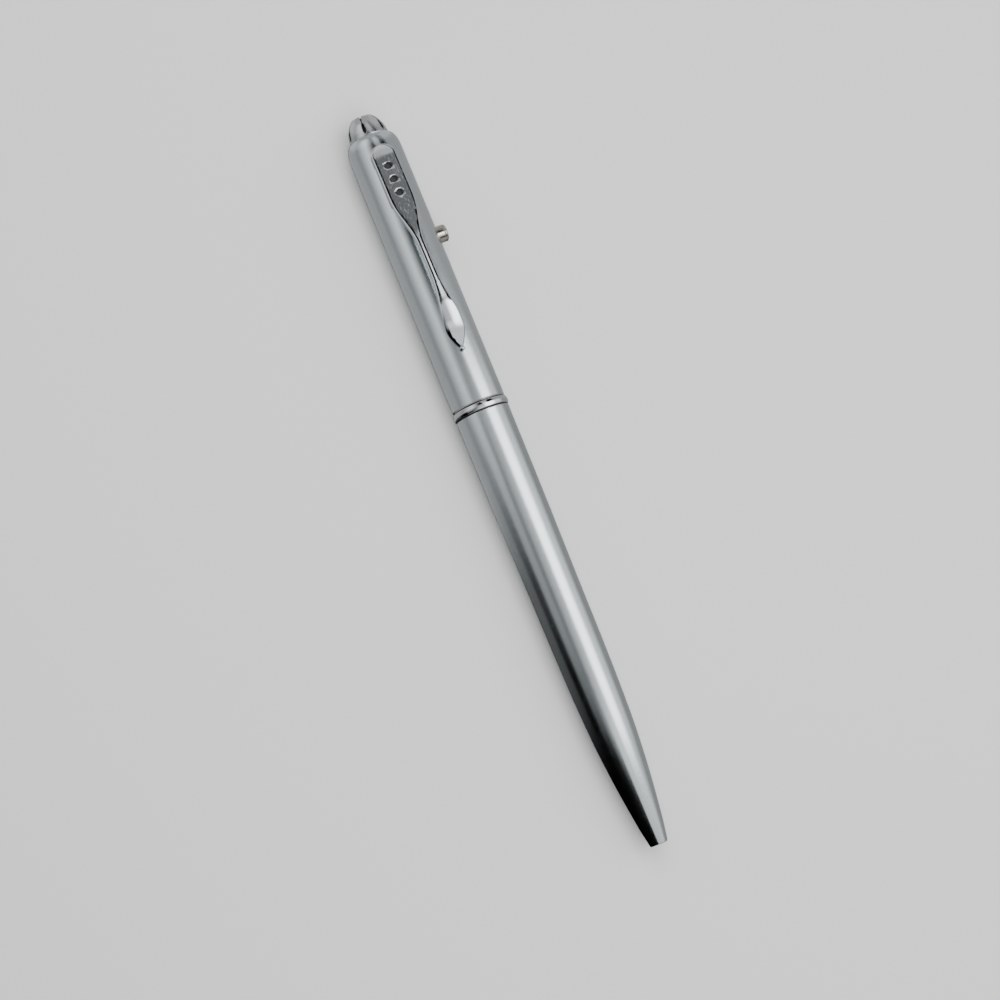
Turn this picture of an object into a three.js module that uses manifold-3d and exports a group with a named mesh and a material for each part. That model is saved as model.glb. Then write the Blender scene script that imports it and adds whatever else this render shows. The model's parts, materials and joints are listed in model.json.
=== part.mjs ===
// Counterfeit detector pen: a twist-action pen with invisible ink and an ultraviolet lamp in its tail.
// Millimetres, +Z up. The pen lies along X with the nose towards -X, the clip upwards and the
// push button towards -Y. Each piece is drawn on the pen's own axis, with its station measured
// from the nose end, and the last group stands the finished pen on z = 0, centred on the origin.
import * as THREE from "three";
import { mergeVertices } from "three/addons/utils/BufferGeometryUtils.js";
import Module from "manifold-3d";

const wasm = await Module();
wasm.setup();

// Driving dimensions of the two barrels and the ring between them
const frontLength = 77.9;
const upperLength = 49.8;
const ringWidth = 1.25;
const ringGap = 0.2;
const ringProud = 0.215;
const ringThickness = 0.6;
const barrelWall = 0.56;
const tailDiameter = 7.1;
const shoulderLength = 2.9;

// Bought-in parts: LR41 cells, a D-size refill, a 3 mm lamp and a small push switch
const cellDiameter = 7.9;
const cellHeight = 3.6;
const cellCount = 3;
const refillDiameter = 2.35;
const tipDiameter = 1.7;
const ballDiameter = 0.7;
const lampDiameter = 3;
const lampFlangeProud = 0.4;
const lampLength = 5.3;
const lampFlangeHeight = 1;
const lampLeadPitch = 2.54;
const lampLeadSize = 0.45;
const switchSize = 4.5;
const switchHeight = 1.5;
const switchPlungerDiameter = 1.7;
const switchPlungerProud = 0.5;

// Fits
const slidingGap = 0.15;
const pressGap = 0.03;
const cellGap = 0.05;
const sleeveWall = 0.12;
const boardGap = 0.06;

// Twist mechanism
const twistTravel = 5.2;
const twistAngle = Math.PI;
const tipRecess = 2.2;
const plungerWall = 0.53;
const spindleWall = 0.55;
const bodyWall = 0.7;
const threadHeight = 0.35;
const threadPitch = 0.75;
const threadLength = 3.75;
const pinDiameter = 1;
const pinSlotGap = 0.14;
const socketDepth = 5;

// Refill spring
const springWire = 0.4;
const springCoils = 9;
const springLength = 14;
const springSeatStation = 12.6;
const springChamberLength = 21;

// Push button
const buttonDiameter = 3;
const buttonProud = 1.57;
const buttonTravel = 0.45;
const buttonFlange = 0.45;
const buttonStemDiameter = 2;
const buttonStemLength = 0.55;
const buttonToTail = 19.7;

// Clip
const clipSheet = 0.6;
const clipHeadWidth = 4.35;
const clipWaistWidth = 1.4;
const clipSpoonWidth = 3.4;
const clipHeadLength = 9.8;
const clipWallLength = 11.2;
const clipWaistStart = 19;
const clipWaistEnd = 24.5;
const clipHighest = 28.6;
const clipSpoonAt = 34.2;
const clipReach = 37.6;
const clipToTail = 2.75;
const clipGap = 0.25;
const clipBeadDiameter = 0.9;
const clipHoleDiameter = 1.3;
const clipHolePitch = 2.55;
const clipHoleFirst = 4.15;
const clipHoleCount = 3;
const clipTongueWidth = 2.4;

// Tail bezel
const bezelDome = 3.95;
const bezelRim = 0.35;
const lampGap = 0.1;
const bezelSlots = 6;
const bezelSlotWidth = 0.4;
const bezelSlotDepth = 0.65;
const bezelSlotTurn = -15;
const bezelFlangeLength = 2.8;

// Sizes that follow from the ones above
const boreRadius = cellDiameter / 2 + cellGap + sleeveWall + pressGap;
const barrelRadius = boreRadius + barrelWall;
const ringRadius = barrelRadius + ringProud;
const ringStation = frontLength + ringGap;
const upperStation = ringStation + ringWidth + ringGap;
const upperEnd = upperStation + upperLength;
const penLength = upperEnd + bezelDome;

const refillRadius = refillDiameter / 2;
const plungerRadius = refillRadius + pressGap + plungerWall;
const spindleBore = plungerRadius + slidingGap;
const spindleRadius = spindleBore + spindleWall;
const bodyBore = spindleRadius + slidingGap;
const bodyRadius = bodyBore + bodyWall;
const threadRadius = bodyRadius + threadHeight;
const bossRadius = bodyBore + 0.6;
const bodyStart = frontLength - 15.1;
const threadStart = frontLength - threadLength - 0.4;
const bodyEnd = upperStation;
const pinStation = bodyStart + 9;
const plungerStart = pinStation - 2.6 - socketDepth;
const refillEnd = plungerStart + socketDepth;
const tubeStart = tipRecess + 8;
const tipClearance = 0.4;

const buttonStation = penLength - buttonToTail - bezelDome;
const buttonReach = barrelRadius + buttonProud;
const flangeRadius = buttonDiameter / 2 + 0.45;
const flangeTop = Math.sqrt(boreRadius ** 2 - flangeRadius ** 2) - 0.1;
const stemEnd = flangeTop - buttonFlange - buttonStemLength;
const switchTop = stemEnd - boardGap - switchPlungerProud;
const boardFace = switchTop - switchHeight - boardGap;
const boardThickness = 0.8;

const clipEnd = upperEnd - clipToTail;
const holderStart = upperEnd - 3.1 - bezelFlangeLength;
const lampRadius = lampDiameter / 2;
const lampFlangeRadius = lampRadius + lampFlangeProud;
const bezelEndRadius = lampRadius + lampGap + bezelRim;
const tongueFloor = boreRadius - 0.95;
const notchFloor = tongueFloor - 0.25;
const bushRadius = notchFloor - 0.25;

// Colours of the finishes
const silverPaint = { color: 0xb0b8be, roughness: 0.36, metalness: 0.75 };
const chrome = { color: 0xd8dadd, roughness: 0.08, metalness: 1 };
const nickel = { color: 0xb4aa98, roughness: 0.22, metalness: 1 };
const greyMetal = { color: 0x8f9497, roughness: 0.34, metalness: 0.9 };
const brass = { color: 0xb8954e, roughness: 0.32, metalness: 1 };
const steel = { color: 0x9c9fa2, roughness: 0.3, metalness: 1 };
const blackPlastic = { color: 0x17181a, roughness: 0.55, metalness: 0 };
const clearPlastic = { color: 0xd9dff0, roughness: 0.1, metalness: 0 };
const ivoryPlastic = { color: 0xd6d2c4, roughness: 0.5, metalness: 0 };
const greenBoard = { color: 0x1d5a3c, roughness: 0.5, metalness: 0 };
const paleInk = { color: 0xe4e2c8, roughness: 0.3, metalness: 0 };

const barrelSides = 40; // facets round the barrels and the ring
const ringFlat = ringRadius * Math.cos(Math.PI / barrelSides);

// A solid turned on the pen's axis, from an outline of [radius, station] points, with a facet
// rather than an edge straight below.
function turned(outline, segments = 24) {
  const points = outline.map(([radius, station]) => new THREE.Vector2(radius, station));
  if (points[0].x > 0) points.push(points[0].clone());
  if (THREE.ShapeUtils.isClockWise(points)) points.reverse();
  return new THREE.LatheGeometry(points, segments, Math.PI / segments).rotateZ(-Math.PI / 2);
}

function tube(inner, outer, from, to, segments = 24) {
  return turned([[inner, from], [outer, from], [outer, to], [inner, to]], segments);
}

function rod(radius, from, to, segments = 24) {
  return turned([[0, from], [radius, from], [radius, to], [0, to]], segments);
}

// A turned solid whose own axis points from the pen's axis out through the button.
function turnedAcross(outline, segments = 24) {
  return turned(outline, segments).rotateZ(-Math.PI / 2).translate(buttonStation, 0, 0);
}

// A box from its lowest corner to its highest, as [x, y, z].
function block(low, high) {
  const size = low.map((value, i) => high[i] - value);
  return new THREE.BoxGeometry(...size).translate(...low.map((value, i) => value + size[i] / 2));
}

// Points on an arc round [radius, station], by the angle from the direction of the radius.
function arc(centreRadius, centreStation, radius, from, to, steps) {
  return Array.from({ length: steps + 1 }, (_, i) => {
    const angle = from + ((to - from) * i) / steps;
    return [centreRadius + radius * Math.cos(angle), centreStation + radius * Math.sin(angle)];
  });
}

// Points on a smooth curve through an outline's few points.
function smooth(outline, steps) {
  const curve = new THREE.SplineCurve(outline.map(([x, y]) => new THREE.Vector2(x, y)));
  return curve.getPoints(steps).map((point) => [point.x, point.y]);
}

// A six-sided wire bent along a list of points.
function wire(points, radius, steps) {
  const path = new THREE.CatmullRomCurve3(points.map((point) => new THREE.Vector3(...point)));
  const section = new THREE.Shape().absarc(0, 0, radius, 0, 2 * Math.PI);
  return new THREE.ExtrudeGeometry(section, { extrudePath: path, steps, curveSegments: 3 });
}

// A closed geometry as a solid that can be joined and cut.
function solid(geometry) {
  const bare = geometry.index ? geometry.toNonIndexed() : geometry.clone();
  bare.deleteAttribute("normal");
  bare.deleteAttribute("uv");
  const merged = mergeVertices(bare, 1e-4);
  const corners = merged.index.array;
  const kept = [];
  for (let i = 0; i < corners.length; i += 3) {
    const [a, b, c] = corners.slice(i, i + 3);
    if (a !== b && b !== c && c !== a) kept.push(a, b, c);
  }
  const vertProperties = merged.attributes.position.array;
  const triVerts = new Uint32Array(kept);
  return new wasm.Manifold(new wasm.Mesh({ numProp: 3, vertProperties, triVerts }));
}

function cut(geometry, ...tools) {
  return tools.reduce((left, tool) => left.subtract(solid(tool)), solid(geometry));
}

function surface(manifold) {
  const { vertProperties, triVerts } = manifold.getMesh();
  const geometry = new THREE.BufferGeometry();
  geometry.setAttribute("position", new THREE.BufferAttribute(vertProperties, 3));
  geometry.setIndex(new THREE.BufferAttribute(triVerts, 1));
  geometry.computeVertexNormals();
  return geometry;
}

const pen = new THREE.Group();

function place(name, shape, finish) {
  const geometry = shape instanceof THREE.BufferGeometry ? shape : surface(shape);
  const mesh = new THREE.Mesh(geometry, new THREE.MeshStandardMaterial(finish));
  mesh.name = name;
  pen.add(mesh);
}

// Front barrel: a long taper that ends square at the ring, bored in steps for the tip, the refill,
// the spring and the twist mechanism.
const noseBore = tipDiameter / 2 + 0.1;
const refillBore = refillRadius + 0.2;
const springRadius = refillRadius + pressGap + 0.35 + springWire / 2;
const springChamber = springRadius + springWire / 2 + 0.2;
const mechanismBore = bodyRadius + 0.15;
const noseStep = tubeStart - 0.6 - twistTravel - tipClearance;
const frontTaper = [
  [0.329, 0], [0.361, 0.8], [0.478, 4.1], [0.69, 12.3], [0.833, 20.6],
  [0.908, 32.3], [0.938, 45.7], [0.98, 0.8 * frontLength], [1, frontLength],
].map(([share, station]) => [share * barrelRadius, station]);
place("front_barrel", turned([
  ...smooth(frontTaper, 14),
  [threadRadius + 0.1, frontLength], [threadRadius + 0.1, threadStart - 0.3],
  [mechanismBore, threadStart - 0.3], [mechanismBore, bodyStart - 1.8],
  [springChamber + 0.3, bodyStart - 5], [springChamber, springSeatStation + springChamberLength],
  [springChamber, springSeatStation], [refillBore, springSeatStation],
  [refillBore, noseStep], [noseBore, noseStep - 0.6], [noseBore, 0],
], barrelSides), silverPaint);

// Refill: brass tip with its writing ball, metal tube, ink column and the collar that the spring pushes
place("refill_tip", turned([
  [0, tipRecess + 0.62],
  [ballDiameter / 2 + 0.03, tipRecess + 0.62], [ballDiameter / 2 + 0.03, tipRecess + 0.28],
  [ballDiameter / 2 + 0.09, tipRecess + 0.2], [tipDiameter / 2, tipRecess + 2.6],
  [tipDiameter / 2, tubeStart - 0.6], [refillRadius, tubeStart - 0.1], [refillRadius, tubeStart],
  [refillRadius - 0.35, tubeStart], [refillRadius - 0.35, tubeStart + 3], [0, tubeStart + 3],
]), brass);
place("writing_ball", turned(
  arc(0, tipRecess + ballDiameter / 2, ballDiameter / 2 - 0.02, -Math.PI / 2, Math.PI / 2, 8), 16,
), steel);
place("refill_tube", tube(refillRadius - 0.3, refillRadius, tubeStart + pressGap, refillEnd), nickel);
place("refill_ink", rod(refillRadius - 0.36, tubeStart + 3.1, refillEnd - 14, 16), paleInk);

const collarStation = springSeatStation + springLength + 0.35;
place("spring_collar",
  tube(refillRadius + pressGap, springChamber - 0.25, collarStation, collarStation + 1.1), ivoryPlastic);

const springTurns = springCoils + 0.5;
const springPoints = Array.from({ length: springTurns * 8 + 1 }, (_, i) => {
  const angle = (i / 8) * 2 * Math.PI;
  const along = springSeatStation + 0.2 + springWire / 2;
  const rise = (springLength - springWire - 0.1) * (i / (springTurns * 8));
  return [along + rise, springRadius * Math.cos(angle), springRadius * Math.sin(angle)];
});
place("refill_spring", wire(springPoints, springWire / 2, Math.round(springTurns * 9)), steel);

// Plunger: carries the refill and is driven by the cross pin
const pinHole = new THREE.CylinderGeometry(pinDiameter / 2 + pressGap, pinDiameter / 2 + pressGap, 12, 16);
place("refill_plunger", cut(
  turned([
    [0, refillEnd + 0.1], [refillRadius + pressGap, refillEnd + 0.1],
    [refillRadius + pressGap, plungerStart],
    [plungerRadius, plungerStart], [plungerRadius, pinStation + 2.1], [0, pinStation + 2.1],
  ], 24),
  pinHole.translate(pinStation, 0, 0),
), blackPlastic);
const pinLength = 2 * (bodyRadius - 0.2);
place("follower_pin",
  new THREE.CylinderGeometry(pinDiameter / 2, pinDiameter / 2, pinLength, 16).translate(pinStation, 0, 0),
  steel);

// Mechanism body: screws into the front barrel, guides the pin along its straight slot and carries the ring
const slotRadius = pinDiameter / 2 + pinSlotGap;
const threads = Array.from({ length: Math.round(threadLength / threadPitch) }, (_, i) => {
  const station = threadStart + i * threadPitch;
  return [
    [threadRadius - 0.28, station], [threadRadius, station + 0.28],
    [threadRadius, station + 0.42], [threadRadius - 0.28, station + 0.7],
  ];
}).flat();
place("mechanism_body", cut(
  turned([
    [bodyBore, bodyStart], [bodyRadius, bodyStart], [bodyRadius, threadStart - 0.2], ...threads,
    [bossRadius, threadStart + threadLength + 0.1], [bossRadius, bodyEnd], [bodyBore, bodyEnd],
  ]),
  block(
    [pinStation - twistTravel - slotRadius, -2 * threadRadius, -slotRadius],
    [pinStation + slotRadius, 2 * threadRadius, slotRadius],
  ),
), brass);

// Cam spindle: turns with the upper barrel, and its helical slot draws the pin along.
// A flange in front of the mechanism body and the hub behind it keep it in place.
const hubStart = bodyEnd + 0.15;
const hubLength = 4.4;
const camSteps = 14;
const camSlot = Array.from({ length: camSteps + 1 }, (_, i) =>
  new THREE.CylinderGeometry(slotRadius, slotRadius, 4 * spindleRadius, 8)
    .rotateX((-twistAngle * i) / camSteps)
    .translate(pinStation - (twistTravel * i) / camSteps, 0, 0));
place("cam_spindle", cut(
  turned([
    [spindleBore, bodyStart - 1.2], [bodyBore + 0.4, bodyStart - 1.2], [bodyBore + 0.4, bodyStart - 0.15],
    [spindleRadius, bodyStart - 0.15], [spindleRadius, bodyEnd], [spindleBore, bodyEnd],
    [spindleBore, hubStart + hubLength - 0.9], [0, hubStart + hubLength - 0.9], [0, bodyEnd - 2.2],
    [spindleBore, bodyEnd - 2.2],
  ]),
  ...camSlot,
), steel);

// Hub: pressed on the spindle's tail, its split skirt grips the upper barrel's bore
const hubRadius = boreRadius - 0.04;
place("drive_hub", cut(
  turned([
    [spindleBore + pressGap, hubStart], [hubRadius - 0.1, hubStart], [hubRadius, hubStart + 0.25],
    [hubRadius, hubStart + hubLength - 0.4], [hubRadius - 0.25, hubStart + hubLength],
    [0, hubStart + hubLength], [0, hubStart + hubLength - 0.8],
    [spindleBore + pressGap, hubStart + hubLength - 0.8],
  ]),
  block([hubStart - 1, -9, -0.25], [hubStart + 2.6, 9, 0.25]),
  block([hubStart - 1, -0.25, -9], [hubStart + 2.6, 0.25, 9]),
), brass);
const contactStation = hubStart + hubLength + 0.05;
place("front_contact", turned([
  [0, contactStation], [boreRadius - 0.75, contactStation], [boreRadius - 0.75, contactStation + 0.2],
  [1.3, contactStation + 0.2], [0.7, contactStation + 0.5], [0, contactStation + 0.5],
]), nickel);

// Centre ring on its dark bush, with a shadow gap to each barrel
place("ring_bush", tube(bossRadius + pressGap, ringRadius - ringThickness - pressGap,
  frontLength + 0.05, upperStation - 0.05, barrelSides), blackPlastic);
const ringEdge = 0.12;
place("centre_ring", turned([
  [ringRadius - ringThickness, ringStation], [ringRadius - ringEdge, ringStation],
  [ringRadius, ringStation + ringEdge], [ringRadius, ringStation + ringWidth - ringEdge],
  [ringRadius - ringEdge, ringStation + ringWidth], [ringRadius - ringThickness, ringStation + ringWidth],
], barrelSides), chrome);

// Upper barrel: plain tube whose shoulder turns in to the bezel, with a hole for the button
// and a slot for the clip's tongue.
const bezelSkirt = tailDiameter / 2 - 0.12;
const boreEnd = upperEnd - 3;
const shoulder = arc(0, 0, 1, 0, Math.PI / 2, 6).map(([x, y]) => [
  tailDiameter / 2 + (barrelRadius - tailDiameter / 2) * x,
  upperEnd - shoulderLength * (1 - y),
]);
const tongueBack = upperEnd - 4;
const tongueFront = tongueBack - 0.5;
const tongueHalf = clipTongueWidth / 2;
const holeRadius = buttonDiameter / 2 + 0.1;
const buttonHole = turnedAcross([[0, 0], [holeRadius, 0], [holeRadius, 9], [0, 9]]);
place("upper_barrel", cut(
  turned([
    [barrelRadius, upperStation], ...shoulder, [bezelSkirt + 0.05, upperEnd],
    [bezelSkirt + 0.05, boreEnd], [boreRadius, boreEnd], [boreRadius, upperStation],
  ], barrelSides),
  buttonHole,
  block([tongueFront - 0.3, -tongueHalf - 0.2, 2], [tongueBack + 0.3, tongueHalf + 0.2, 9]),
), silverPaint);

// Three cells in their insulating sleeve, each a can, a gasket and a cap
const cellStart = contactStation + 0.55;
const cellPitch = cellHeight + 0.02;
const cellRadius = cellDiameter / 2;
place("cell_sleeve", tube(cellRadius + cellGap, cellRadius + cellGap + sleeveWall,
  cellStart - 0.1, cellStart + cellCount * cellPitch + 4), clearPlastic);
for (let i = 0; i < cellCount; i += 1) {
  const front = cellStart + i * cellPitch;
  const back = front + cellHeight;
  const capRadius = cellRadius - 0.8;
  place(`cell_${i + 1}_can`, turned([
    [0, back], [cellRadius - 0.2, back], [cellRadius, back - 0.2], [cellRadius, front + 0.6],
    [cellRadius - 0.2, front + 0.4], [capRadius + 0.27, front + 0.4], [capRadius + 0.27, front + 1.6],
    [0, front + 1.6],
  ]), nickel);
  place(`cell_${i + 1}_gasket`,
    tube(capRadius + 0.04, capRadius + 0.23, front + 0.25, front + 1.55), blackPlastic);
  place(`cell_${i + 1}_cap`, turned([
    [0, front], [capRadius - 0.15, front], [capRadius, front + 0.15],
    [capRadius, front + 1.55], [0, front + 1.55],
  ]), steel);
}

// Carrier: a moulded disc and half shell that locates the circuit board in the barrel
const stackEnd = cellStart + cellCount * cellPitch;
const carrierStart = stackEnd + 5;
const discEnd = carrierStart + 1.4;
const boardBack = boardFace - boardThickness;
const boardOffset = Math.max(Math.abs(boardFace), Math.abs(boardBack));
const boardHalf = Math.sqrt((boreRadius - 0.3) ** 2 - boardOffset ** 2);
const carrierRadius = boreRadius - 0.12;
const boardEnd = holderStart - 1.4;
const tailHole = new THREE.CylinderGeometry(0.4, 0.4, 3, 12).rotateZ(Math.PI / 2);
place("board_carrier", cut(
  rod(carrierRadius, carrierStart, boardEnd),
  block([discEnd, -9, -9], [boardEnd + 1, boardGap - boardBack, 9]),
  block([discEnd + 2, -9, -2.2], [boardEnd - 2, 3, 2.2]),
  tailHole.translate(carrierStart + 0.7, -boardFace - 0.45, 0),
), blackPlastic);
place("circuit_board",
  block([discEnd + boardGap, -boardFace, -boardHalf], [boardEnd, -boardBack, boardHalf]), greenBoard);

// Battery spring: a tapering coil whose tail passes through the carrier's disc to the board
const coilTurns = 3.5;
const coilSteps = 42;
const coilPoints = Array.from({ length: coilSteps + 1 }, (_, i) => {
  const share = i / coilSteps;
  const angle = Math.PI + share * coilTurns * 2 * Math.PI;
  const radius = 2.9 - (2.9 - boardFace - 0.45) * share;
  const along = stackEnd + 0.4 + (carrierStart - stackEnd - 1.1) * share;
  return [along, radius * Math.cos(angle), radius * Math.sin(angle)];
});
const coilTail = [carrierStart + 0.2, discEnd, discEnd + 1.2].map((along) => [along, -boardFace - 0.45, 0]);
place("battery_spring", wire([...coilTail.reverse(), ...coilPoints.reverse()], 0.2, 48), nickel);

// Switch on the board, worked by the push button
const switchHalf = switchSize / 2;
const plungerSunk = 0.35;
const plungerFloor = switchTop - plungerSunk - buttonTravel - 0.1;
const plungerHole = turnedAcross([[0, plungerFloor], [switchPlungerDiameter / 2 + 0.1, plungerFloor],
  [switchPlungerDiameter / 2 + 0.1, 9], [0, 9]], 20);
place("switch_body", cut(
  block([buttonStation - switchHalf, -switchTop, -switchHalf],
    [buttonStation + switchHalf, -boardFace - boardGap, switchHalf]),
  plungerHole,
), blackPlastic);
place("switch_plunger", turnedAcross([
  [0, switchTop - plungerSunk], [switchPlungerDiameter / 2, switchTop - plungerSunk],
  [switchPlungerDiameter / 2, switchTop + switchPlungerProud], [0, switchTop + switchPlungerProud],
], 20), ivoryPlastic);
place("push_button", turnedAcross([
  [0, stemEnd], [buttonStemDiameter / 2, stemEnd], [buttonStemDiameter / 2, flangeTop - buttonFlange],
  [flangeRadius, flangeTop - buttonFlange], [flangeRadius, flangeTop], [buttonDiameter / 2, flangeTop],
  [buttonDiameter / 2, buttonReach - 0.35],
  ...arc(buttonDiameter / 2 - 0.3, buttonReach - 0.35, 0.3, 0.3, 1.2, 2),
  [0.5, buttonReach], [0, buttonReach],
]), nickel);

// Earth leaf: carries the negative side from the barrel's bore to the board
const leafStart = discEnd + 1.6;
const leafHalf = 0.45;
const leafSheet = 0.12;
const leafRise = Math.sqrt((boreRadius - pressGap) ** 2 - leafHalf ** 2) - boardFace;
const leafLine = [[0, 0.18], [1.3, 0.18], [2.9, leafRise - 0.1], [3.5, leafRise - 0.05]];
const leafShape = new THREE.Shape(
  [...leafLine, ...leafLine.map(([x, y]) => [x + 0.08, y - leafSheet]).reverse()].map(([x, y]) =>
    new THREE.Vector2(leafStart + x, -boardFace - y)),
);
const leafStrip = new THREE.ExtrudeGeometry(leafShape, { depth: 2 * leafHalf, bevelEnabled: false });
place("earth_leaf", leafStrip.translate(0, 0, -leafHalf), brass);

// Ultraviolet lamp: clear lens with its flange, and two leads soldered to the board
const lampEnd = penLength - 0.4;
const lampStart = lampEnd - lampLength;
place("lamp_lens", turned([
  [0, lampStart], [lampFlangeRadius, lampStart], [lampFlangeRadius, lampStart + lampFlangeHeight],
  [lampRadius, lampStart + lampFlangeHeight],
  ...arc(0, lampEnd - lampRadius, lampRadius, 0, Math.PI / 2, 6),
]), clearPlastic);
for (const [name, side] of [["lamp_anode", 1], ["lamp_cathode", -1]]) {
  const middle = (side * lampLeadPitch) / 2;
  const lift = boardFace + boardGap;
  place(name, block([boardEnd - 3, -lift - lampLeadSize, middle - lampLeadSize / 2],
    [lampStart - 0.05, -lift, middle + lampLeadSize / 2]), nickel);
}

// Lamp bush: holds the lamp's flange in the bezel, with a groove for each lead
const bushStart = holderStart + 0.2;
const leadGrooves = [1, -1].map((side) => {
  const middle = (side * lampLeadPitch) / 2;
  return block([bushStart - 1, -boardFace - 1, middle - 0.4], [lampStart, -boardFace + 0.3, middle + 0.4]);
});
place("lamp_bush", cut(rod(bushRadius, bushStart, lampStart - 0.1), ...leadGrooves), ivoryPlastic);

// Tail bezel: a slotted dome round the lamp, seated from inside against the barrel's shoulder
const domeBase = tailDiameter / 2 - 0.06;
const domeTurn = Math.acos(bezelEndRadius / domeBase);
const domeStretch = (bezelDome - 0.06) / Math.sin(domeTurn);
const dome = arc(0, 0, 1, 0, domeTurn, 5)
  .map(([x, y]) => [domeBase * x, upperEnd + 0.06 + domeStretch * y]);
const slotFloor = Math.atan2(domeBase - bezelEndRadius, bezelDome);
const bezelCuts = Array.from({ length: bezelSlots }, (_, i) =>
  block([0, -bezelSlotWidth / 2, -bezelSlotDepth], [2 * bezelDome, bezelSlotWidth / 2, 9])
    .rotateY(slotFloor)
    .translate(upperEnd + 0.5, 0, domeBase)
    .rotateX(THREE.MathUtils.degToRad(bezelSlotTurn + (360 / bezelSlots) * i)));
place("tail_bezel", cut(
  turned([
    [bushRadius + pressGap, holderStart], [hubRadius, holderStart], [hubRadius, boreEnd - 0.05],
    [bezelSkirt, boreEnd - 0.05], [bezelSkirt, upperEnd + 0.06], ...dome,
    [lampRadius + lampGap, penLength], [lampRadius + lampGap, lampStart + lampFlangeHeight + 0.1],
    [lampFlangeRadius + lampGap, lampStart + lampFlangeHeight + 0.1],
    [lampFlangeRadius + lampGap, lampStart - 0.02], [bushRadius + pressGap, lampStart - 0.02],
  ], 30),
  block([holderStart - 1, -tongueHalf - 0.25, notchFloor], [boreEnd, tongueHalf + 0.25, 9]),
  ...bezelCuts,
), greyMetal);

// Clip: one sheet cut to its outline and bent along its length, with side walls at the head,
// a tongue that hooks into the barrel and a bead that rests on it.
const along = (distance) => clipEnd - distance;
const clipTop = smooth([
  [along(-0.3), barrelRadius + 0.9], [along(1.2), barrelRadius + 1.2], [along(4.5), barrelRadius + 1.4],
  [along(clipHeadLength), barrelRadius + 1.75], [along(clipWaistStart), barrelRadius + 2.35],
  [along(clipHighest), barrelRadius + 2.6], [along(clipSpoonAt - 2.2), barrelRadius + 2.42],
  [along(clipSpoonAt), barrelRadius + 1.97], [along(clipReach - 0.6), barrelRadius + 0.95],
  [along(clipReach + 0.6), barrelRadius + 0.6],
], 30);
const ribbon = new THREE.Shape(
  [...clipTop, ...clipTop.map(([x, y]) => [x, y - clipSheet]).reverse()]
    .map(([x, y]) => new THREE.Vector2(x, y)),
);
const ease = (share) => (1 - Math.cos(Math.PI * share)) / 2;
const blend = (from, to, share) => from + (to - from) * ease(THREE.MathUtils.clamp(share, 0, 1));
const halfWidth = (distance) => {
  const head = clipHeadWidth / 2;
  const waist = clipWaistWidth / 2;
  const spoon = clipSpoonWidth / 2;
  if (distance < head) return Math.sqrt(head ** 2 - (head - distance) ** 2);
  if (distance < clipWaistEnd) {
    return blend(head, waist, (distance - clipHeadLength) / (clipWaistStart - clipHeadLength));
  }
  if (distance < clipSpoonAt) {
    return blend(waist, spoon, (distance - clipWaistEnd) / (clipSpoonAt - clipWaistEnd));
  }
  return 0.25 + (spoon - 0.25) * (1 - ((distance - clipSpoonAt) / (clipReach - clipSpoonAt)) ** 1.2);
};

// The clip's outline seen from above, as a block that everything else is cut to.
const headRadius = clipHeadWidth / 2;
const stops = [
  ...Array.from({ length: 6 }, (_, i) => headRadius * (1 - Math.cos(((i + 1) * Math.PI) / 12))),
  ...Array.from({ length: 24 }, (_, i) => headRadius + ((clipReach - headRadius) * (i + 1)) / 24),
];
const edge = stops.map((stop) => [along(stop), halfWidth(stop)]);
const outline = [[clipEnd, 0], ...edge, ...edge.slice().reverse().map(([x, y]) => [x, -y])];
const outlineBlock = solid(new THREE.ExtrudeGeometry(
  new THREE.Shape(outline.map(([x, y]) => new THREE.Vector2(x, y))), { depth: 12, bevelEnabled: false },
));

// A profile seen from the pen's side, drawn out across it.
function acrossPen(shape) {
  return new THREE.ExtrudeGeometry(shape, { depth: 8, bevelEnabled: false })
    .rotateX(Math.PI / 2)
    .translate(0, 4, 0);
}

const ribbonSolid = solid(acrossPen(ribbon));
const underRibbon = solid(acrossPen(new THREE.Shape(
  [...clipTop.map(([x, y]) => [x, y - clipSheet / 2]), [along(clipReach + 0.6), 0], [along(-0.3), 0]]
    .map(([x, y]) => new THREE.Vector2(x, y)),
)));
const clearOfBarrel = solid(rod(barrelRadius + clipGap, clipEnd - 50, clipEnd + 5, 48));
const wallPart = block([along(clipWallLength), -9, 0], [along(-1), 9, 12]);
const headWalls = outlineBlock
  .subtract(solid(block([along(clipWallLength) - 40, -1.7, -1], [along(0.5), 1.7, 13])))
  .intersect(solid(wallPart))
  .intersect(underRibbon)
  .subtract(clearOfBarrel);
const tongue = solid(
  block([tongueFront, -tongueHalf, tongueFloor], [tongueBack, tongueHalf, barrelRadius + 0.9]),
);
const foot = solid(
  block([tongueFront - 0.9, -tongueHalf, tongueFloor], [tongueBack, tongueHalf, tongueFloor + 0.45]),
);
const beadRadius = clipBeadDiameter / 2;
const bead = solid(new THREE.SphereGeometry(beadRadius, 16, 10)
  .translate(along(clipReach - 0.1), 0, barrelRadius + beadRadius + 0.05));
const clipHoles = Array.from({ length: clipHoleCount }, (_, i) =>
  new THREE.CylinderGeometry(clipHoleDiameter / 2, clipHoleDiameter / 2, 12, 20)
    .rotateX(Math.PI / 2)
    .translate(along(clipHoleFirst + i * clipHolePitch), 0, barrelRadius + 6 - 0.9));
const clip = clipHoles.reduce(
  (left, hole) => left.subtract(solid(hole)),
  ribbonSolid.intersect(outlineBlock).add(headWalls).add(bead),
);
place("clip", clip.add(tongue).add(foot), chrome);

pen.position.set(-penLength / 2, (buttonReach - ringFlat) / 2, ringFlat);
const model = new THREE.Group();
model.add(pen);

export default model;
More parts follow.
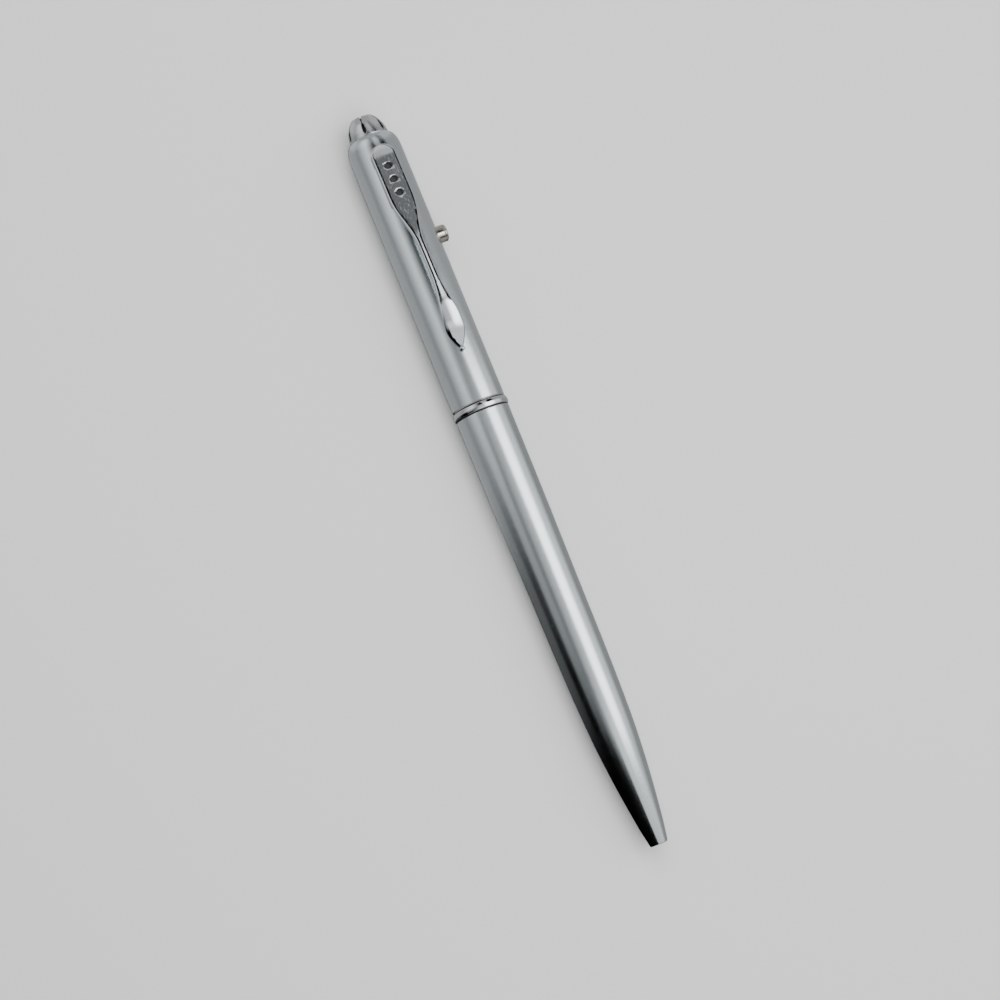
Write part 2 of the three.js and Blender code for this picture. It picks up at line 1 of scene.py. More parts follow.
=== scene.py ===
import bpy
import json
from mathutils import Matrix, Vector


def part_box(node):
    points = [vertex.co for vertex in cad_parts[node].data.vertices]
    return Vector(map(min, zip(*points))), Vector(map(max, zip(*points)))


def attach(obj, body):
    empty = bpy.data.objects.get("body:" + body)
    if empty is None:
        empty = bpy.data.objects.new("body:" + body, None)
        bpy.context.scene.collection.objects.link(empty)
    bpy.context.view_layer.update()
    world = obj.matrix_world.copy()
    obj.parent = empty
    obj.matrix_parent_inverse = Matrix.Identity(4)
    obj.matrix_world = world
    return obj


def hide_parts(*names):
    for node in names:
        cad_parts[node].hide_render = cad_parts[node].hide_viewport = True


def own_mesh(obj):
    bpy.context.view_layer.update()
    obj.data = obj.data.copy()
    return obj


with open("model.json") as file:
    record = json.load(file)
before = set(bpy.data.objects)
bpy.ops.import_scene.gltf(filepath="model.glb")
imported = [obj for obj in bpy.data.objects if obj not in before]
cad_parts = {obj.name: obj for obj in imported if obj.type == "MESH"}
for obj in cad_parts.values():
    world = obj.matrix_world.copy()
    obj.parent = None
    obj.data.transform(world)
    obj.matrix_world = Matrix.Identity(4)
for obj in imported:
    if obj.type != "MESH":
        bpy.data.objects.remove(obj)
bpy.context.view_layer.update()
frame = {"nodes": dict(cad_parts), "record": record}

import json
from math import acos, cos, pi, radians, sin, sqrt

import bmesh
import bpy
from mathutils import Matrix, Vector
from mathutils.geometry import interpolate_bezier

# Everything is drawn in millimetres on the pen's own axis, x counted from the nose end,
# and finished() moves it to the axis that the CAD model gives.
mm = 0.001
ringLow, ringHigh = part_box("centre_ring")
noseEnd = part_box("front_barrel")[0].x
penAxis = Vector((noseEnd, (ringLow.y + ringHigh.y) / 2, (ringLow.z + ringHigh.z) / 2))


def span(node):
    # where a CAD node starts and ends along the pen, in mm from the nose
    low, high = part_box(node)
    return (low.x - noseEnd) / mm, (high.x - noseEnd) / mm


frontEnd = span("front_barrel")[1]
ringStart, ringEnd = span("centre_ring")
upperStart, upperEnd = span("upper_barrel")
penEnd = span("tail_bezel")[1]
barrelRadius = 4.71
buttonAt = sum(span("push_button")) / 2

# ---- camera ----
view = {"lens": 81, "tilt": 6.1, "roll": 11.5, "spin": 22.3, "aimStation": 63.2,
        "place": (-40.4, 78.1, 369.9)}


def setCamera():
    tilt, roll, spin = (radians(view[key]) for key in ("tilt", "roll", "spin"))
    across = Vector((0, -cos(roll), sin(roll)))
    downward = Vector((0, -sin(roll), -cos(roll)))
    forward = cos(tilt) * downward + sin(tilt) * Vector((1, 0, 0))
    toNose = cos(tilt) * Vector((-1, 0, 0)) + sin(tilt) * downward
    right = cos(spin) * across + sin(spin) * toNose
    down = -sin(spin) * across + cos(spin) * toNose
    turned = Matrix((right, -down, -forward)).transposed().to_4x4()
    aim = penAxis + Vector((view["aimStation"] * mm, 0, 0))
    camera = bpy.data.objects.new("camera", bpy.data.cameras.new("camera"))
    camera.data.lens = view["lens"]
    camera.data.sensor_width = 36
    camera.data.clip_start = 0.01
    camera.matrix_world = Matrix.Translation(aim + Vector(view["place"]) * mm) @ turned
    bpy.context.scene.collection.objects.link(camera)
    bpy.context.scene.camera = camera


setCamera()
print("camera set")


# ---- helpers for shaping ----
def turn(outline, steps=96):
    # spins an outline of (station, radius) points round the pen's axis
    mesh = bmesh.new()
    corners = [mesh.verts.new((station * mm, 0, radius * mm)) for station, radius in outline]
    edges = [mesh.edges.new(pair) for pair in zip(corners, corners[1:])]
    if outline[0][1] > 0:
        edges.append(mesh.edges.new((corners[-1], corners[0])))
    bmesh.ops.spin(mesh, geom=corners + edges, cent=(0, 0, 0), axis=(1, 0, 0), dvec=(0, 0, 0),
                   angle=2 * pi, steps=steps, use_merge=True)
    bmesh.ops.remove_doubles(mesh, verts=mesh.verts, dist=1e-7)
    bmesh.ops.recalc_face_normals(mesh, faces=mesh.faces)
    return mesh


def turnAcross(outline, steps=64):
    # the same on the button's axis, with each station counted outwards from the pen's axis
    mesh = turn(outline, steps)
    bmesh.ops.rotate(mesh, cent=(0, 0, 0), matrix=Matrix.Rotation(-pi / 2, 3, "Z"), verts=mesh.verts)
    bmesh.ops.translate(mesh, vec=(buttonAt * mm, 0, 0), verts=mesh.verts)
    return mesh


def tubeOutline(start, end, inner, outer):
    return [(start, inner), (start, outer), (end, outer), (end, inner)]


def helix(radius, wire, start, pitch, turns, stepsPerTurn=40, sides=12, squareness=1.0):
    # a round wire wound on the pen's axis
    mesh = bmesh.new()
    place = Matrix.Translation((start * mm, 0, radius * mm)) @ Matrix.Rotation(pi / 2, 4, "X")
    bmesh.ops.create_circle(mesh, cap_ends=True, segments=sides, radius=wire / 2 * mm, matrix=place)
    bmesh.ops.scale(mesh, vec=(squareness, 1, 1), verts=mesh.verts,
                    space=Matrix.Translation((-start * mm, 0, 0)))
    steps = round(turns * stepsPerTurn)
    bmesh.ops.spin(mesh, geom=mesh.verts[:] + mesh.edges[:] + mesh.faces[:], cent=(0, 0, 0), axis=(1, 0, 0),
                   dvec=(pitch * mm / stepsPerTurn, 0, 0), angle=2 * pi * turns, steps=steps)
    bmesh.ops.recalc_face_normals(mesh, faces=mesh.faces)
    return mesh


def brick(low, high):
    # a box from its lowest corner to its highest, in mm
    low, high = Vector(low) * mm, Vector(high) * mm
    mesh = bmesh.new()
    size = Matrix.Diagonal((*(high - low), 1))
    bmesh.ops.create_cube(mesh, size=1, matrix=Matrix.Translation((low + high) / 2) @ size)
    return mesh


def slab(outline, low, high):
    # a plate of this (station, width) outline between two heights
    mesh = bmesh.new()
    base = mesh.faces.new([mesh.verts.new((x * mm, y * mm, low * mm)) for x, y in outline])
    raised = bmesh.ops.extrude_face_region(mesh, geom=[base], use_keep_orig=True)["geom"]
    bmesh.ops.translate(mesh, vec=(0, 0, (high - low) * mm),
                        verts=[item for item in raised if isinstance(item, bmesh.types.BMVert)])
    bmesh.ops.recalc_face_normals(mesh, faces=mesh.faces)
    return mesh


def sliced(mesh, places, normal):
    # divides the faces where planes cross them, so that they can bend
    for place in places:
        bmesh.ops.bisect_plane(mesh, geom=mesh.verts[:] + mesh.edges[:] + mesh.faces[:],
                               plane_co=normal * place * mm, plane_no=normal)
    return mesh


def smoothLine(points, steps):
    # a smooth line through a few (station, height) points
    line = []
    for i in range(len(points) - 1):
        start, end = Vector(points[i]), Vector(points[i + 1])
        before, after = Vector(points[max(i - 1, 0)]), Vector(points[min(i + 2, len(points) - 1)])
        slopeIn = (end - before) / (end - before).x
        slopeOut = (after - start) / (after - start).x
        third = (end - start).x / 3
        leaving, arriving = start + slopeIn * third, end - slopeOut * third
        line += interpolate_bezier(start, leaving, arriving, end, steps + 1)[:-1]
    return [tuple(point) for point in line] + [tuple(points[-1])]


def heightAt(line, station):
    for (a, low), (b, high) in zip(line, line[1:]):
        if a <= station <= b:
            return low + (high - low) * (station - a) / (b - a)
    return line[0][1] if station < line[0][0] else line[-1][1]


def soften(mesh, radius, steps=2, angle=30, where=None):
    # rounds every edge sharper than the angle, or those of them that where() picks by their middle
    def picked(edge):
        if len(edge.link_faces) != 2 or edge.calc_face_angle(0) < radians(angle):
            return False
        return where is None or where((edge.verts[0].co + edge.verts[1].co) / (2 * mm))

    edges = [edge for edge in mesh.edges if picked(edge)]
    bmesh.ops.bevel(mesh, geom=edges, offset=radius * mm, offset_type="OFFSET", segments=steps, profile=0.5,
                    affect="EDGES", material=-1, clamp_overlap=True)
    return mesh


def asObject(name, mesh):
    data = bpy.data.meshes.new(name)
    mesh.to_mesh(data)
    mesh.free()
    thing = bpy.data.objects.new(name, data)
    bpy.context.scene.collection.objects.link(thing)
    return thing


def carve(mesh, *tools, operation="DIFFERENCE"):
    # cuts the tools out of the mesh, or joins them to it
    work = asObject("work", mesh)
    cutters = [asObject("cutter", tool) for tool in tools]
    for cutter in cutters:
        step = work.modifiers.new("cut", "BOOLEAN")
        step.operation, step.solver, step.object = operation, "EXACT", cutter
    carved = bmesh.new()
    carved.from_object(work, bpy.context.evaluated_depsgraph_get())
    for thing in (work, *cutters):
        bpy.data.meshes.remove(thing.data)
    bmesh.ops.remove_doubles(carved, verts=carved.verts, dist=1e-7)
    return carved


def together(whole, *meshes):
    for mesh in meshes:
        data = bpy.data.meshes.new("joining")
        mesh.to_mesh(data)
        mesh.free()
        whole.from_mesh(data)
        bpy.data.meshes.remove(data)
    return whole


def refined(node, radius, steps=2):
    # a CAD node's own shape with its flat faces joined and its edges rounded
    mesh = bmesh.new()
    mesh.from_mesh(frame["nodes"][node].data)
    bmesh.ops.translate(mesh, vec=-penAxis, verts=mesh.verts)
    bmesh.ops.remove_doubles(mesh, verts=mesh.verts, dist=1e-6)
    bmesh.ops.dissolve_limit(mesh, angle_limit=radians(2), verts=mesh.verts, edges=mesh.edges)
    return soften(mesh, radius, steps)


def finished(name, mesh, material, node, smooth=35, weighted=True):
    # puts a mesh in its place, shades it smooth, gives it its material and hangs it on the CAD body of its
    # node
    nodes = node if isinstance(node, tuple) else (node,)
    bmesh.ops.translate(mesh, vec=penAxis, verts=mesh.verts)
    piece = asObject(name, mesh)
    piece.data.shade_smooth()
    piece.data.set_sharp_from_angle(angle=radians(smooth))
    piece.data.materials.append(material)
    if weighted:
        piece.modifiers.new("evenShading", "WEIGHTED_NORMAL").keep_sharp = True
    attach(piece, bodyOf[nodes[0]])
    return piece


def standIn(name, mesh, material, node, smooth=35, weighted=True):
    piece = finished(name, mesh, material, node, smooth, weighted)
    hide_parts(*(node if isinstance(node, tuple) else (node,)))
    return piece


bodyOf = {node: body for body, nodes in frame["record"]["behaviour"]["bodies"].items() for node in nodes}


# ---- helpers for materials ----
def addNode(tree, kind, inputs=None, **settings):
    made = tree.nodes.new("ShaderNode" + kind)
    for key, value in settings.items():
        setattr(made, key, value)
    for key, value in (inputs or {}).items():
        if isinstance(value, bpy.types.NodeSocket):
            tree.links.new(value, made.inputs[key])
        else:
            made.inputs[key].default_value = value
    return made


def sums(tree, operation, a, b, clamp=False):
    return addNode(tree, "Math", {0: a, 1: b}, operation=operation, use_clamp=clamp).outputs[0]


def ramp(tree, value, low, high, toLow=0.0, toHigh=1.0):
    sockets = {"Value": value, "From Min": low, "From Max": high, "To Min": toLow, "To Max": toHigh}
    return addNode(tree, "MapRange", sockets).outputs[0]


def newGroup(name, inputs, outputs):
    group = bpy.data.node_groups.new(name, "ShaderNodeTree")
    for label, kind, value in inputs:
        socket = group.interface.new_socket(label, in_out="INPUT", socket_type="NodeSocket" + kind)
        if value is not None:
            socket.default_value = value
    for label in outputs:
        group.interface.new_socket(label, in_out="OUTPUT", socket_type="NodeSocketFloat")
    return group, group.nodes.new("NodeGroupInput").outputs, group.nodes.new("NodeGroupOutput").inputs


def makeFlake():
    # the aluminium flakes of metallic paint and the slight orange peel of its lacquer
    inputs = [("Place", "Vector", None), ("Size", "Float", 0.06)]
    group, given, out = newGroup("flake", inputs, ["Shade", "Height"])
    cells = sums(group, "DIVIDE", 1000.0, given["Size"])
    flakes = addNode(group, "TexVoronoi", {"Vector": given["Place"], "Scale": cells})
    grey = addNode(group, "SeparateColor", {"Color": flakes.outputs["Color"]}).outputs[0]
    peel = addNode(group, "TexNoise", {"Vector": given["Place"], "Scale": 900.0, "Detail": 1.0})
    group.links.new(grey, out["Shade"])
    group.links.new(sums(group, "ADD", sums(group, "MULTIPLY", grey, 0.15), peel.outputs[0]), out["Height"])
    return group


def makeGrain():
    # fine rings left by a lathe, or lines along a drawn sheet, by how the place is stretched
    inputs = [("Place", "Vector", None), ("Stretch", "Vector", (9000, 120, 120))]
    group, given, out = newGroup("toolGrain", inputs, ["Lines"])
    moved = addNode(group, "VectorMath", {0: given["Place"], 1: given["Stretch"]}, operation="MULTIPLY")
    fine = addNode(group, "TexNoise", {"Vector": moved.outputs[0], "Scale": 1.0, "Detail": 3.0,
                                       "Roughness": 0.6})
    group.links.new(fine.outputs[0], out["Lines"])
    return group


def makeMarks():
    # soft smudges of handling, and thin scratches in two directions
    group, given, out = newGroup("handling", [("Place", "Vector", None)], ["Smudge", "Scratch"])
    soft = addNode(group, "TexNoise", {"Vector": given["Place"], "Scale": 180.0, "Detail": 4.0,
                                       "Distortion": 0.6})
    group.links.new(ramp(group, soft.outputs[0], 0.42, 0.68), out["Smudge"])
    lines = []
    for turnBy, scale in ((0.35, (700, 26000, 13000)), (-0.6, (900, 21000, 17000))):
        turned = addNode(group, "Mapping", {"Vector": given["Place"], "Rotation": (turnBy, 0, turnBy),
                                            "Scale": scale})
        noise = addNode(group, "TexNoise", {"Vector": turned.outputs[0], "Scale": 1.0, "Detail": 0.0})
        lines.append(ramp(group, noise.outputs[0], 0.74, 0.8))
    group.links.new(sums(group, "MAXIMUM", *lines), out["Scratch"])
    return group


def makeDust():
    # sparse dust and lint specks
    inputs = [("Place", "Vector", None), ("Amount", "Float", 0.3)]
    group, given, out = newGroup("dust", inputs, ["Specks"])
    grains = addNode(group, "TexVoronoi", {"Vector": given["Place"], "Scale": 1500.0})
    near = ramp(group, grains.outputs["Distance"], 0.12, 0.02)
    chosen = addNode(group, "SeparateColor", {"Color": grains.outputs["Color"]}).outputs[1]
    kept = sums(group, "LESS_THAN", chosen, sums(group, "MULTIPLY", given["Amount"], 0.12))
    group.links.new(sums(group, "MULTIPLY", near, kept), out["Specks"])
    return group


def makeRimWear():
    # wear within a short width of a rim at one station, broken up along the rim
    inputs = [("Place", "Vector", None), ("Rim", "Float", 0.0), ("Width", "Float", 0.0004)]
    group, given, out = newGroup("rimWear", inputs, ["Wear"])
    station = addNode(group, "SeparateXYZ", {0: given["Place"]}).outputs[0]
    away = sums(group, "ABSOLUTE", sums(group, "SUBTRACT", station, given["Rim"]), 0.0)
    close = sums(group, "SUBTRACT", 1.0, sums(group, "DIVIDE", away, given["Width"]))
    broken = addNode(group, "TexNoise", {"Vector": given["Place"], "Scale": 1300.0, "Detail": 4.0})
    worn = sums(group, "ADD", close, sums(group, "MULTIPLY", broken.outputs[0], 0.9))
    group.links.new(ramp(group, worn, 1.15, 1.3), out["Wear"])
    return group


groups = {"flake": makeFlake(), "grain": makeGrain(), "marks": makeMarks(), "dust": makeDust(),
          "rimWear": makeRimWear()}


def useGroup(tree, key, inputs):
    made = tree.nodes.new("ShaderNodeGroup")
    made.node_tree = groups[key]
    for name, value in inputs.items():
        if isinstance(value, bpy.types.NodeSocket):
            tree.links.new(value, made.inputs[name])
        else:
            made.inputs[name].default_value = value
    return made.outputs


def mixColours(tree, share, a, b):
    node = addNode(tree, "Mix", data_type="RGBA")
    for index, value in ((0, share), (6, a), (7, b)):
        if isinstance(value, bpy.types.NodeSocket):
            tree.links.new(value, node.inputs[index])
        else:
            node.inputs[index].default_value = value
    return node.outputs[2]


def startMaterial(name, **constants):
    material = bpy.data.materials.new(name)
    material.use_nodes = True
    tree = material.node_tree
    shader = tree.nodes["Principled BSDF"]
    for key, value in constants.items():
        shader.inputs[key.replace("_", " ")].default_value = value
    place = tree.nodes.new("ShaderNodeTexCoord").outputs["Object"]
    return material, tree, shader, place


def finishMaterial(tree, shader, colour=None, roughness=None, height=None, bump=0.1, distance=0.00002):
    if colour is not None:
        tree.links.new(colour, shader.inputs["Base Color"])
    if roughness is not None:
        tree.links.new(roughness, shader.inputs["Roughness"])
    if height is not None:
        lifted = addNode(tree, "Bump", {"Height": height, "Strength": bump, "Distance": distance})
        tree.links.new(lifted.outputs[0], shader.inputs["Normal"])


def silverPaint(name, rims):
    # satin metallic lacquer, rubbed through a little at the rims
    material, tree, shader, place = startMaterial(name, Metallic=1.0, Coat_Weight=0.3, Coat_Roughness=0.05)
    flake = useGroup(tree, "flake", {"Place": place, "Size": 0.05})
    marks = useGroup(tree, "marks", {"Place": place})
    dust = useGroup(tree, "dust", {"Place": place, "Amount": 0.25})["Specks"]
    colour = mixColours(tree, flake["Shade"], (0.50, 0.535, 0.55, 1), (0.66, 0.70, 0.715, 1))
    wear = None
    for rim, width in rims:
        inputs = {"Place": place, "Rim": noseEnd + rim * mm, "Width": width * mm}
        here = useGroup(tree, "rimWear", inputs)["Wear"]
        wear = here if wear is None else sums(tree, "MAXIMUM", wear, here)
    colour = mixColours(tree, wear, colour, (0.78, 0.76, 0.72, 1))
    colour = mixColours(tree, sums(tree, "MULTIPLY", dust, 0.6), colour, (0.8, 0.79, 0.76, 1))
    rough = sums(tree, "ADD", sums(tree, "MULTIPLY", marks["Smudge"], 0.03), 0.165)
    rough = sums(tree, "ADD", rough, sums(tree, "MULTIPLY", flake["Shade"], 0.03))
    rough = sums(tree, "ADD", rough, sums(tree, "MULTIPLY", dust, 0.4), True)
    height = sums(tree, "SUBTRACT", flake["Height"], sums(tree, "MULTIPLY", marks["Scratch"], 0.12))
    finishMaterial(tree, shader, colour, rough, height, 0.12, 0.00003)
    return material


def platedMetal(name, dark, light, roughness, stretch=(9000, 120, 120), bump=0.06, scratch=0.5):
    # bare or plated metal with tool lines, handling marks and a little dust
    material, tree, shader, place = startMaterial(name, Metallic=1.0)
    lines = useGroup(tree, "grain", {"Place": place, "Stretch": stretch})["Lines"]
    marks = useGroup(tree, "marks", {"Place": place})
    dust = useGroup(tree, "dust", {"Place": place})["Specks"]
    tone = sums(tree, "ADD", sums(tree, "MULTIPLY", lines, 0.5),
                sums(tree, "MULTIPLY", marks["Smudge"], -0.35), True)
    colour = mixColours(tree, tone, (*dark, 1), (*light, 1))
    rough = sums(tree, "ADD", sums(tree, "MULTIPLY", marks["Smudge"], 0.06), roughness)
    marred = sums(tree, "MULTIPLY", sums(tree, "ADD", marks["Scratch"], dust), 0.25)
    rough = sums(tree, "ADD", rough, marred, True)
    height = sums(tree, "SUBTRACT", lines, sums(tree, "MULTIPLY", marks["Scratch"], scratch))
    finishMaterial(tree, shader, colour, rough, height, bump)
    return material


def mouldedPlastic(name, dark, light, roughness, **constants):
    # moulded plastic with a fine spark-eroded texture
    material, tree, shader, place = startMaterial(name, **constants)
    texture = addNode(tree, "TexNoise", {"Vector": place, "Scale": 4200.0, "Detail": 3.0}).outputs[0]
    marks = useGroup(tree, "marks", {"Place": place})
    dust = useGroup(tree, "dust", {"Place": place, "Amount": 0.35})["Specks"]
    colour = mixColours(tree, marks["Smudge"], (*dark, 1), (*light, 1))
    colour = mixColours(tree, sums(tree, "MULTIPLY", dust, 0.4), colour, (0.7, 0.69, 0.66, 1))
    rough = sums(tree, "ADD", sums(tree, "MULTIPLY", texture, 0.12), roughness)
    finishMaterial(tree, shader, colour, rough, texture, 0.15)
    return material


def solderMask():
    # green board lacquer with faint copper tracks under it
    material, tree, shader, place = startMaterial("solderMask", Coat_Weight=0.3, Coat_Roughness=0.2)
    split = addNode(tree, "SeparateXYZ", {0: place})
    wave = sums(tree, "PINGPONG", sums(tree, "MULTIPLY", split.outputs[2], 1000.0), 0.6)
    track = ramp(tree, wave, 0.36, 0.4)
    weave = addNode(tree, "TexChecker", {"Vector": place, "Scale": 5200.0}).outputs[1]
    colour = mixColours(tree, track, (0.016, 0.10, 0.05, 1), (0.03, 0.19, 0.08, 1))
    rough = sums(tree, "ADD", sums(tree, "MULTIPLY", weave, 0.04), 0.38)
    height = sums(tree, "ADD", track, sums(tree, "MULTIPLY", weave, 0.2))
    finishMaterial(tree, shader, colour, rough, height, 0.3)
    return material


# how tool lines are stretched: drawn along a sheet, or blurred by wear
drawn, blurred = (150, 5200, 5200), (2500, 700, 700)
finishes = {
    "frontPaint": silverPaint("frontPaint", [(0.0, 0.35), (frontEnd, 0.3)]),
    "upperPaint": silverPaint("upperPaint", [(upperStart, 0.3), (upperEnd, 0.35)]),
    "chrome": platedMetal("chrome", (0.62, 0.64, 0.66), (0.84, 0.855, 0.87), 0.05, drawn, 0.015, 0.1),
    "ringChrome": platedMetal("ringChrome", (0.60, 0.61, 0.62), (0.86, 0.865, 0.87), 0.07, bump=0.03,
                              scratch=0.1),
    "nickel": platedMetal("nickel", (0.50, 0.47, 0.41), (0.74, 0.70, 0.62), 0.13, bump=0.05, scratch=0.1),
    "greyMetal": platedMetal("greyMetal", (0.54, 0.55, 0.555), (0.68, 0.69, 0.70), 0.2, blurred, 0.04, 0.1),
    "brass": platedMetal("brass", (0.52, 0.36, 0.14), (0.80, 0.62, 0.32), 0.2, bump=0.15),
    "steel": platedMetal("steel", (0.36, 0.365, 0.37), (0.64, 0.645, 0.65), 0.18, bump=0.1),
    "black": mouldedPlastic("blackPlastic", (0.012, 0.012, 0.013), (0.02, 0.02, 0.021), 0.42),
    "ivory": mouldedPlastic("ivoryPlastic", (0.60, 0.57, 0.48), (0.66, 0.63, 0.55), 0.38,
                            Subsurface_Weight=0.15),
    "film": mouldedPlastic("clearFilm", (0.86, 0.89, 0.92), (0.92, 0.94, 0.96), 0.06, Alpha=0.28, IOR=1.49),
    "epoxy": mouldedPlastic("clearEpoxy", (0.93, 0.95, 1.0), (0.96, 0.97, 1.0), 0.02, Transmission_Weight=1.0,
                            IOR=1.53),
    "ink": mouldedPlastic("paleInk", (0.74, 0.72, 0.56), (0.80, 0.78, 0.64), 0.1,
                          Transmission_Weight=0.4, IOR=1.4),
    "board": solderMask(),
}
print("materials made")

# ---- front barrel ----
springSeat = 12.6  # the step in the nose that the refill spring rests on
frontBarrel = {
    # outlines as (station, radius) points, outside from the nose and then the stepped bore back to it
    "taper": [(0, 1.55), (0.8, 1.70), (4.1, 2.25), (12.3, 3.25), (20.6, 3.92), (32.3, 4.28), (45.7, 4.42),
              (62.3, 4.62), (frontEnd, barrelRadius)],
    "bores": [(frontEnd, 3.735), (frontEnd - 4.45, 3.735), (frontEnd - 4.45, 3.435), (frontEnd - 16.9, 3.435),
              (frontEnd - 20.1, 2.455), (33.6, 2.155), (springSeat, 2.155), (springSeat, 1.375), (4.0, 1.375),
              (3.4, 0.95), (0, 0.95)],
    "rim": 0.2,
}
barrel = turn(smoothLine(frontBarrel["taper"], 7) + frontBarrel["bores"], 160)
standIn("frontBarrel", soften(barrel, frontBarrel["rim"], 3, 40), finishes["frontPaint"], "front_barrel", 12)

# ---- centre ring and its dark bush ----
ring = {"outer": 4.925, "inner": 4.325, "edge": 0.15, "crown": 0.1,
        "bushInner": 3.215, "bushOuter": 4.295, "bushEdge": 0.05}
middle, halfRing = (ringStart + ringEnd) / 2, (ringEnd - ringStart) / 2
crowned = [(middle + halfRing * step / 6, ring["outer"] - ring["crown"] * (step / 6) ** 2)
           for step in range(-6, 7)]
band = turn([(ringStart, ring["inner"])] + crowned + [(ringEnd, ring["inner"])], 160)
standIn("centreRing", soften(band, ring["edge"], 3, 50), finishes["ringChrome"], "centre_ring")
bushStart, bushEnd = span("ring_bush")
bush = turn(tubeOutline(bushStart, bushEnd, ring["bushInner"], ring["bushOuter"]))
standIn("ringBush", soften(bush, ring["bushEdge"]), finishes["black"], "ring_bush")
print("front barrel and ring made")

# ---- upper barrel ----
upper = {"bore": 4.15, "boreEnd": upperEnd - 3, "mouth": 3.48, "shoulder": 2.9, "lip": 3.55, "rim": 0.07,
         "endRim": 0.2, "buttonHole": 1.6, "slotStart": upperEnd - 4.8, "slotEnd": upperEnd - 3.7,
         "slotHalf": 1.4, "inside": 1, "slotFloor": 2, "outside": 9}
shoulder = [(upperEnd - upper["shoulder"] * (1 - sin(step * pi / 24)),
             upper["lip"] + (barrelRadius - upper["lip"]) * cos(step * pi / 24)) for step in range(13)]
rimSlope = [(upperStart, barrelRadius - upper["endRim"]), (upperStart + upper["endRim"], barrelRadius)]
lengths = [(upperStart + 1 + 4 * step, barrelRadius) for step in range(11)]  # keeps the long faces even
inside = [(upperEnd, upper["mouth"]), (upper["boreEnd"], upper["mouth"]), (upper["boreEnd"], upper["bore"]),
          (upperStart, upper["bore"])]
tube = turn(rimSlope + lengths + shoulder + inside, 192)
hole = turnAcross([(upper["inside"], 0), (upper["inside"], upper["buttonHole"]),
                   (upper["outside"], upper["buttonHole"]), (upper["outside"], 0)], 96)
slot = brick((upper["slotStart"], -upper["slotHalf"], upper["slotFloor"]),
             (upper["slotEnd"], upper["slotHalf"], upper["outside"]))
standIn("upperBarrel", soften(carve(tube, hole, slot), upper["rim"], 2, 40), finishes["upperPaint"],
        "upper_barrel", 12)
print("upper barrel made")

# ---- clip: one sheet cut to its outline, bent along its length, with folded walls at the head ----
clip = {
    "end": upperEnd - 2.75, "sheet": 0.6, "head": 4.35, "waist": 1.4, "spoon": 3.4, "headLength": 9.8,
    "waistStart": 19, "waistEnd": 24.5, "spoonAt": 34.2, "reach": 37.6, "tip": 0.3, "topEdge": 0.27,
    "holes": (4.15, 6.7, 9.25), "hole": 1.3, "holeEdge": 0.04, "shade": 0.8, "shadeSheet": 0.12,
    "wallLength": 11.2, "wall": 0.48, "wallTop": 0.3, "gap": 0.7, "backGap": 0.25, "backLength": 3.5,
    "bead": 0.45, "beadGap": 0.05, "beadOut": 0.2, "tongueHalf": 1.2, "tongueTop": 0.9, "tongueEdge": 0.06,
    "tongue": (upperEnd - 4.5, upperEnd - 4.0), "tongueFloor": 3.2, "foot": 0.9, "footSheet": 0.45,
    "bends": 76, "crossBends": (-1.5, -1, -0.5, 0, 0.5, 1, 1.5), "leastHalf": 0.3,
    # height of the top face over the barrel, by distance from the clip's end
    "profile": [(-0.3, 0.9), (1.2, 1.2), (4.5, 1.4), (9.8, 1.75), (19, 2.35), (28.6, 2.6), (32, 2.42),
                (34.2, 1.97), (37, 0.95), (38.2, 0.6)],
    # how far the edges drop below the middle, by distance from the clip's end
    "crown": [(-1, 0.05), (4, 0.06), (10, 0.08), (19, 0.14), (27, 0.14), (31, 0.16), (34.2, 0.32), (38, 0.1)],
}
clipProfile = smoothLine(clip["profile"], 8)
clipCrown = smoothLine(clip["crown"], 6)


def eased(start, end, share):
    return start + (end - start) * (1 - cos(pi * min(max(share, 0), 1))) / 2


def clipHalf(distance):
    # half the clip's width at a distance from its round end
    head, waist, spoon, tip = clip["head"] / 2, clip["waist"] / 2, clip["spoon"] / 2, clip["tip"]
    if distance < head:
        return sqrt(max(head ** 2 - (head - distance) ** 2, 0))
    if distance < clip["waistEnd"]:
        return eased(head, waist, (distance - clip["headLength"]) / (clip["waistStart"] - clip["headLength"]))
    if distance < clip["spoonAt"]:
        return eased(waist, spoon, (distance - clip["waistEnd"]) / (clip["spoonAt"] - clip["waistEnd"]))
    share = (distance - clip["spoonAt"]) / (clip["reach"] - clip["spoonAt"])
    return tip + (spoon - tip) * (1 - share ** 1.5)


def clipOutline(inset, reach):
    # the clip's plan, drawn in by an inset and cut off square at a distance
    head = clip["head"] / 2
    stops = [head * (1 - cos(step * pi / 32)) for step in range(1, 16)]
    stops += [head + (reach - head) * step / 90 for step in range(91)]
    side = [(clip["end"] - stop, clipHalf(stop) - inset) for stop in stops if clipHalf(stop) > inset]
    return [(clip["end"] - inset, 0)] + side + [(x, -y) for x, y in reversed(side)]


def topHeight(distance, across, steepest):
    # the top face's height over the pen's axis, lower towards the clip's sides
    share = (across / max(clipHalf(distance), clip["leastHalf"])) ** 2
    drop = heightAt(clipCrown, distance) * min(share, steepest)
    return barrelRadius + heightAt(clipProfile, distance) - drop


def cylinder(radius, height, centre, segments):
    mesh = bmesh.new()
    bmesh.ops.create_cone(mesh, cap_ends=True, segments=segments, radius1=radius * mm, radius2=radius * mm,
                          depth=height * mm, matrix=Matrix.Translation([place * mm for place in centre]))
    return mesh


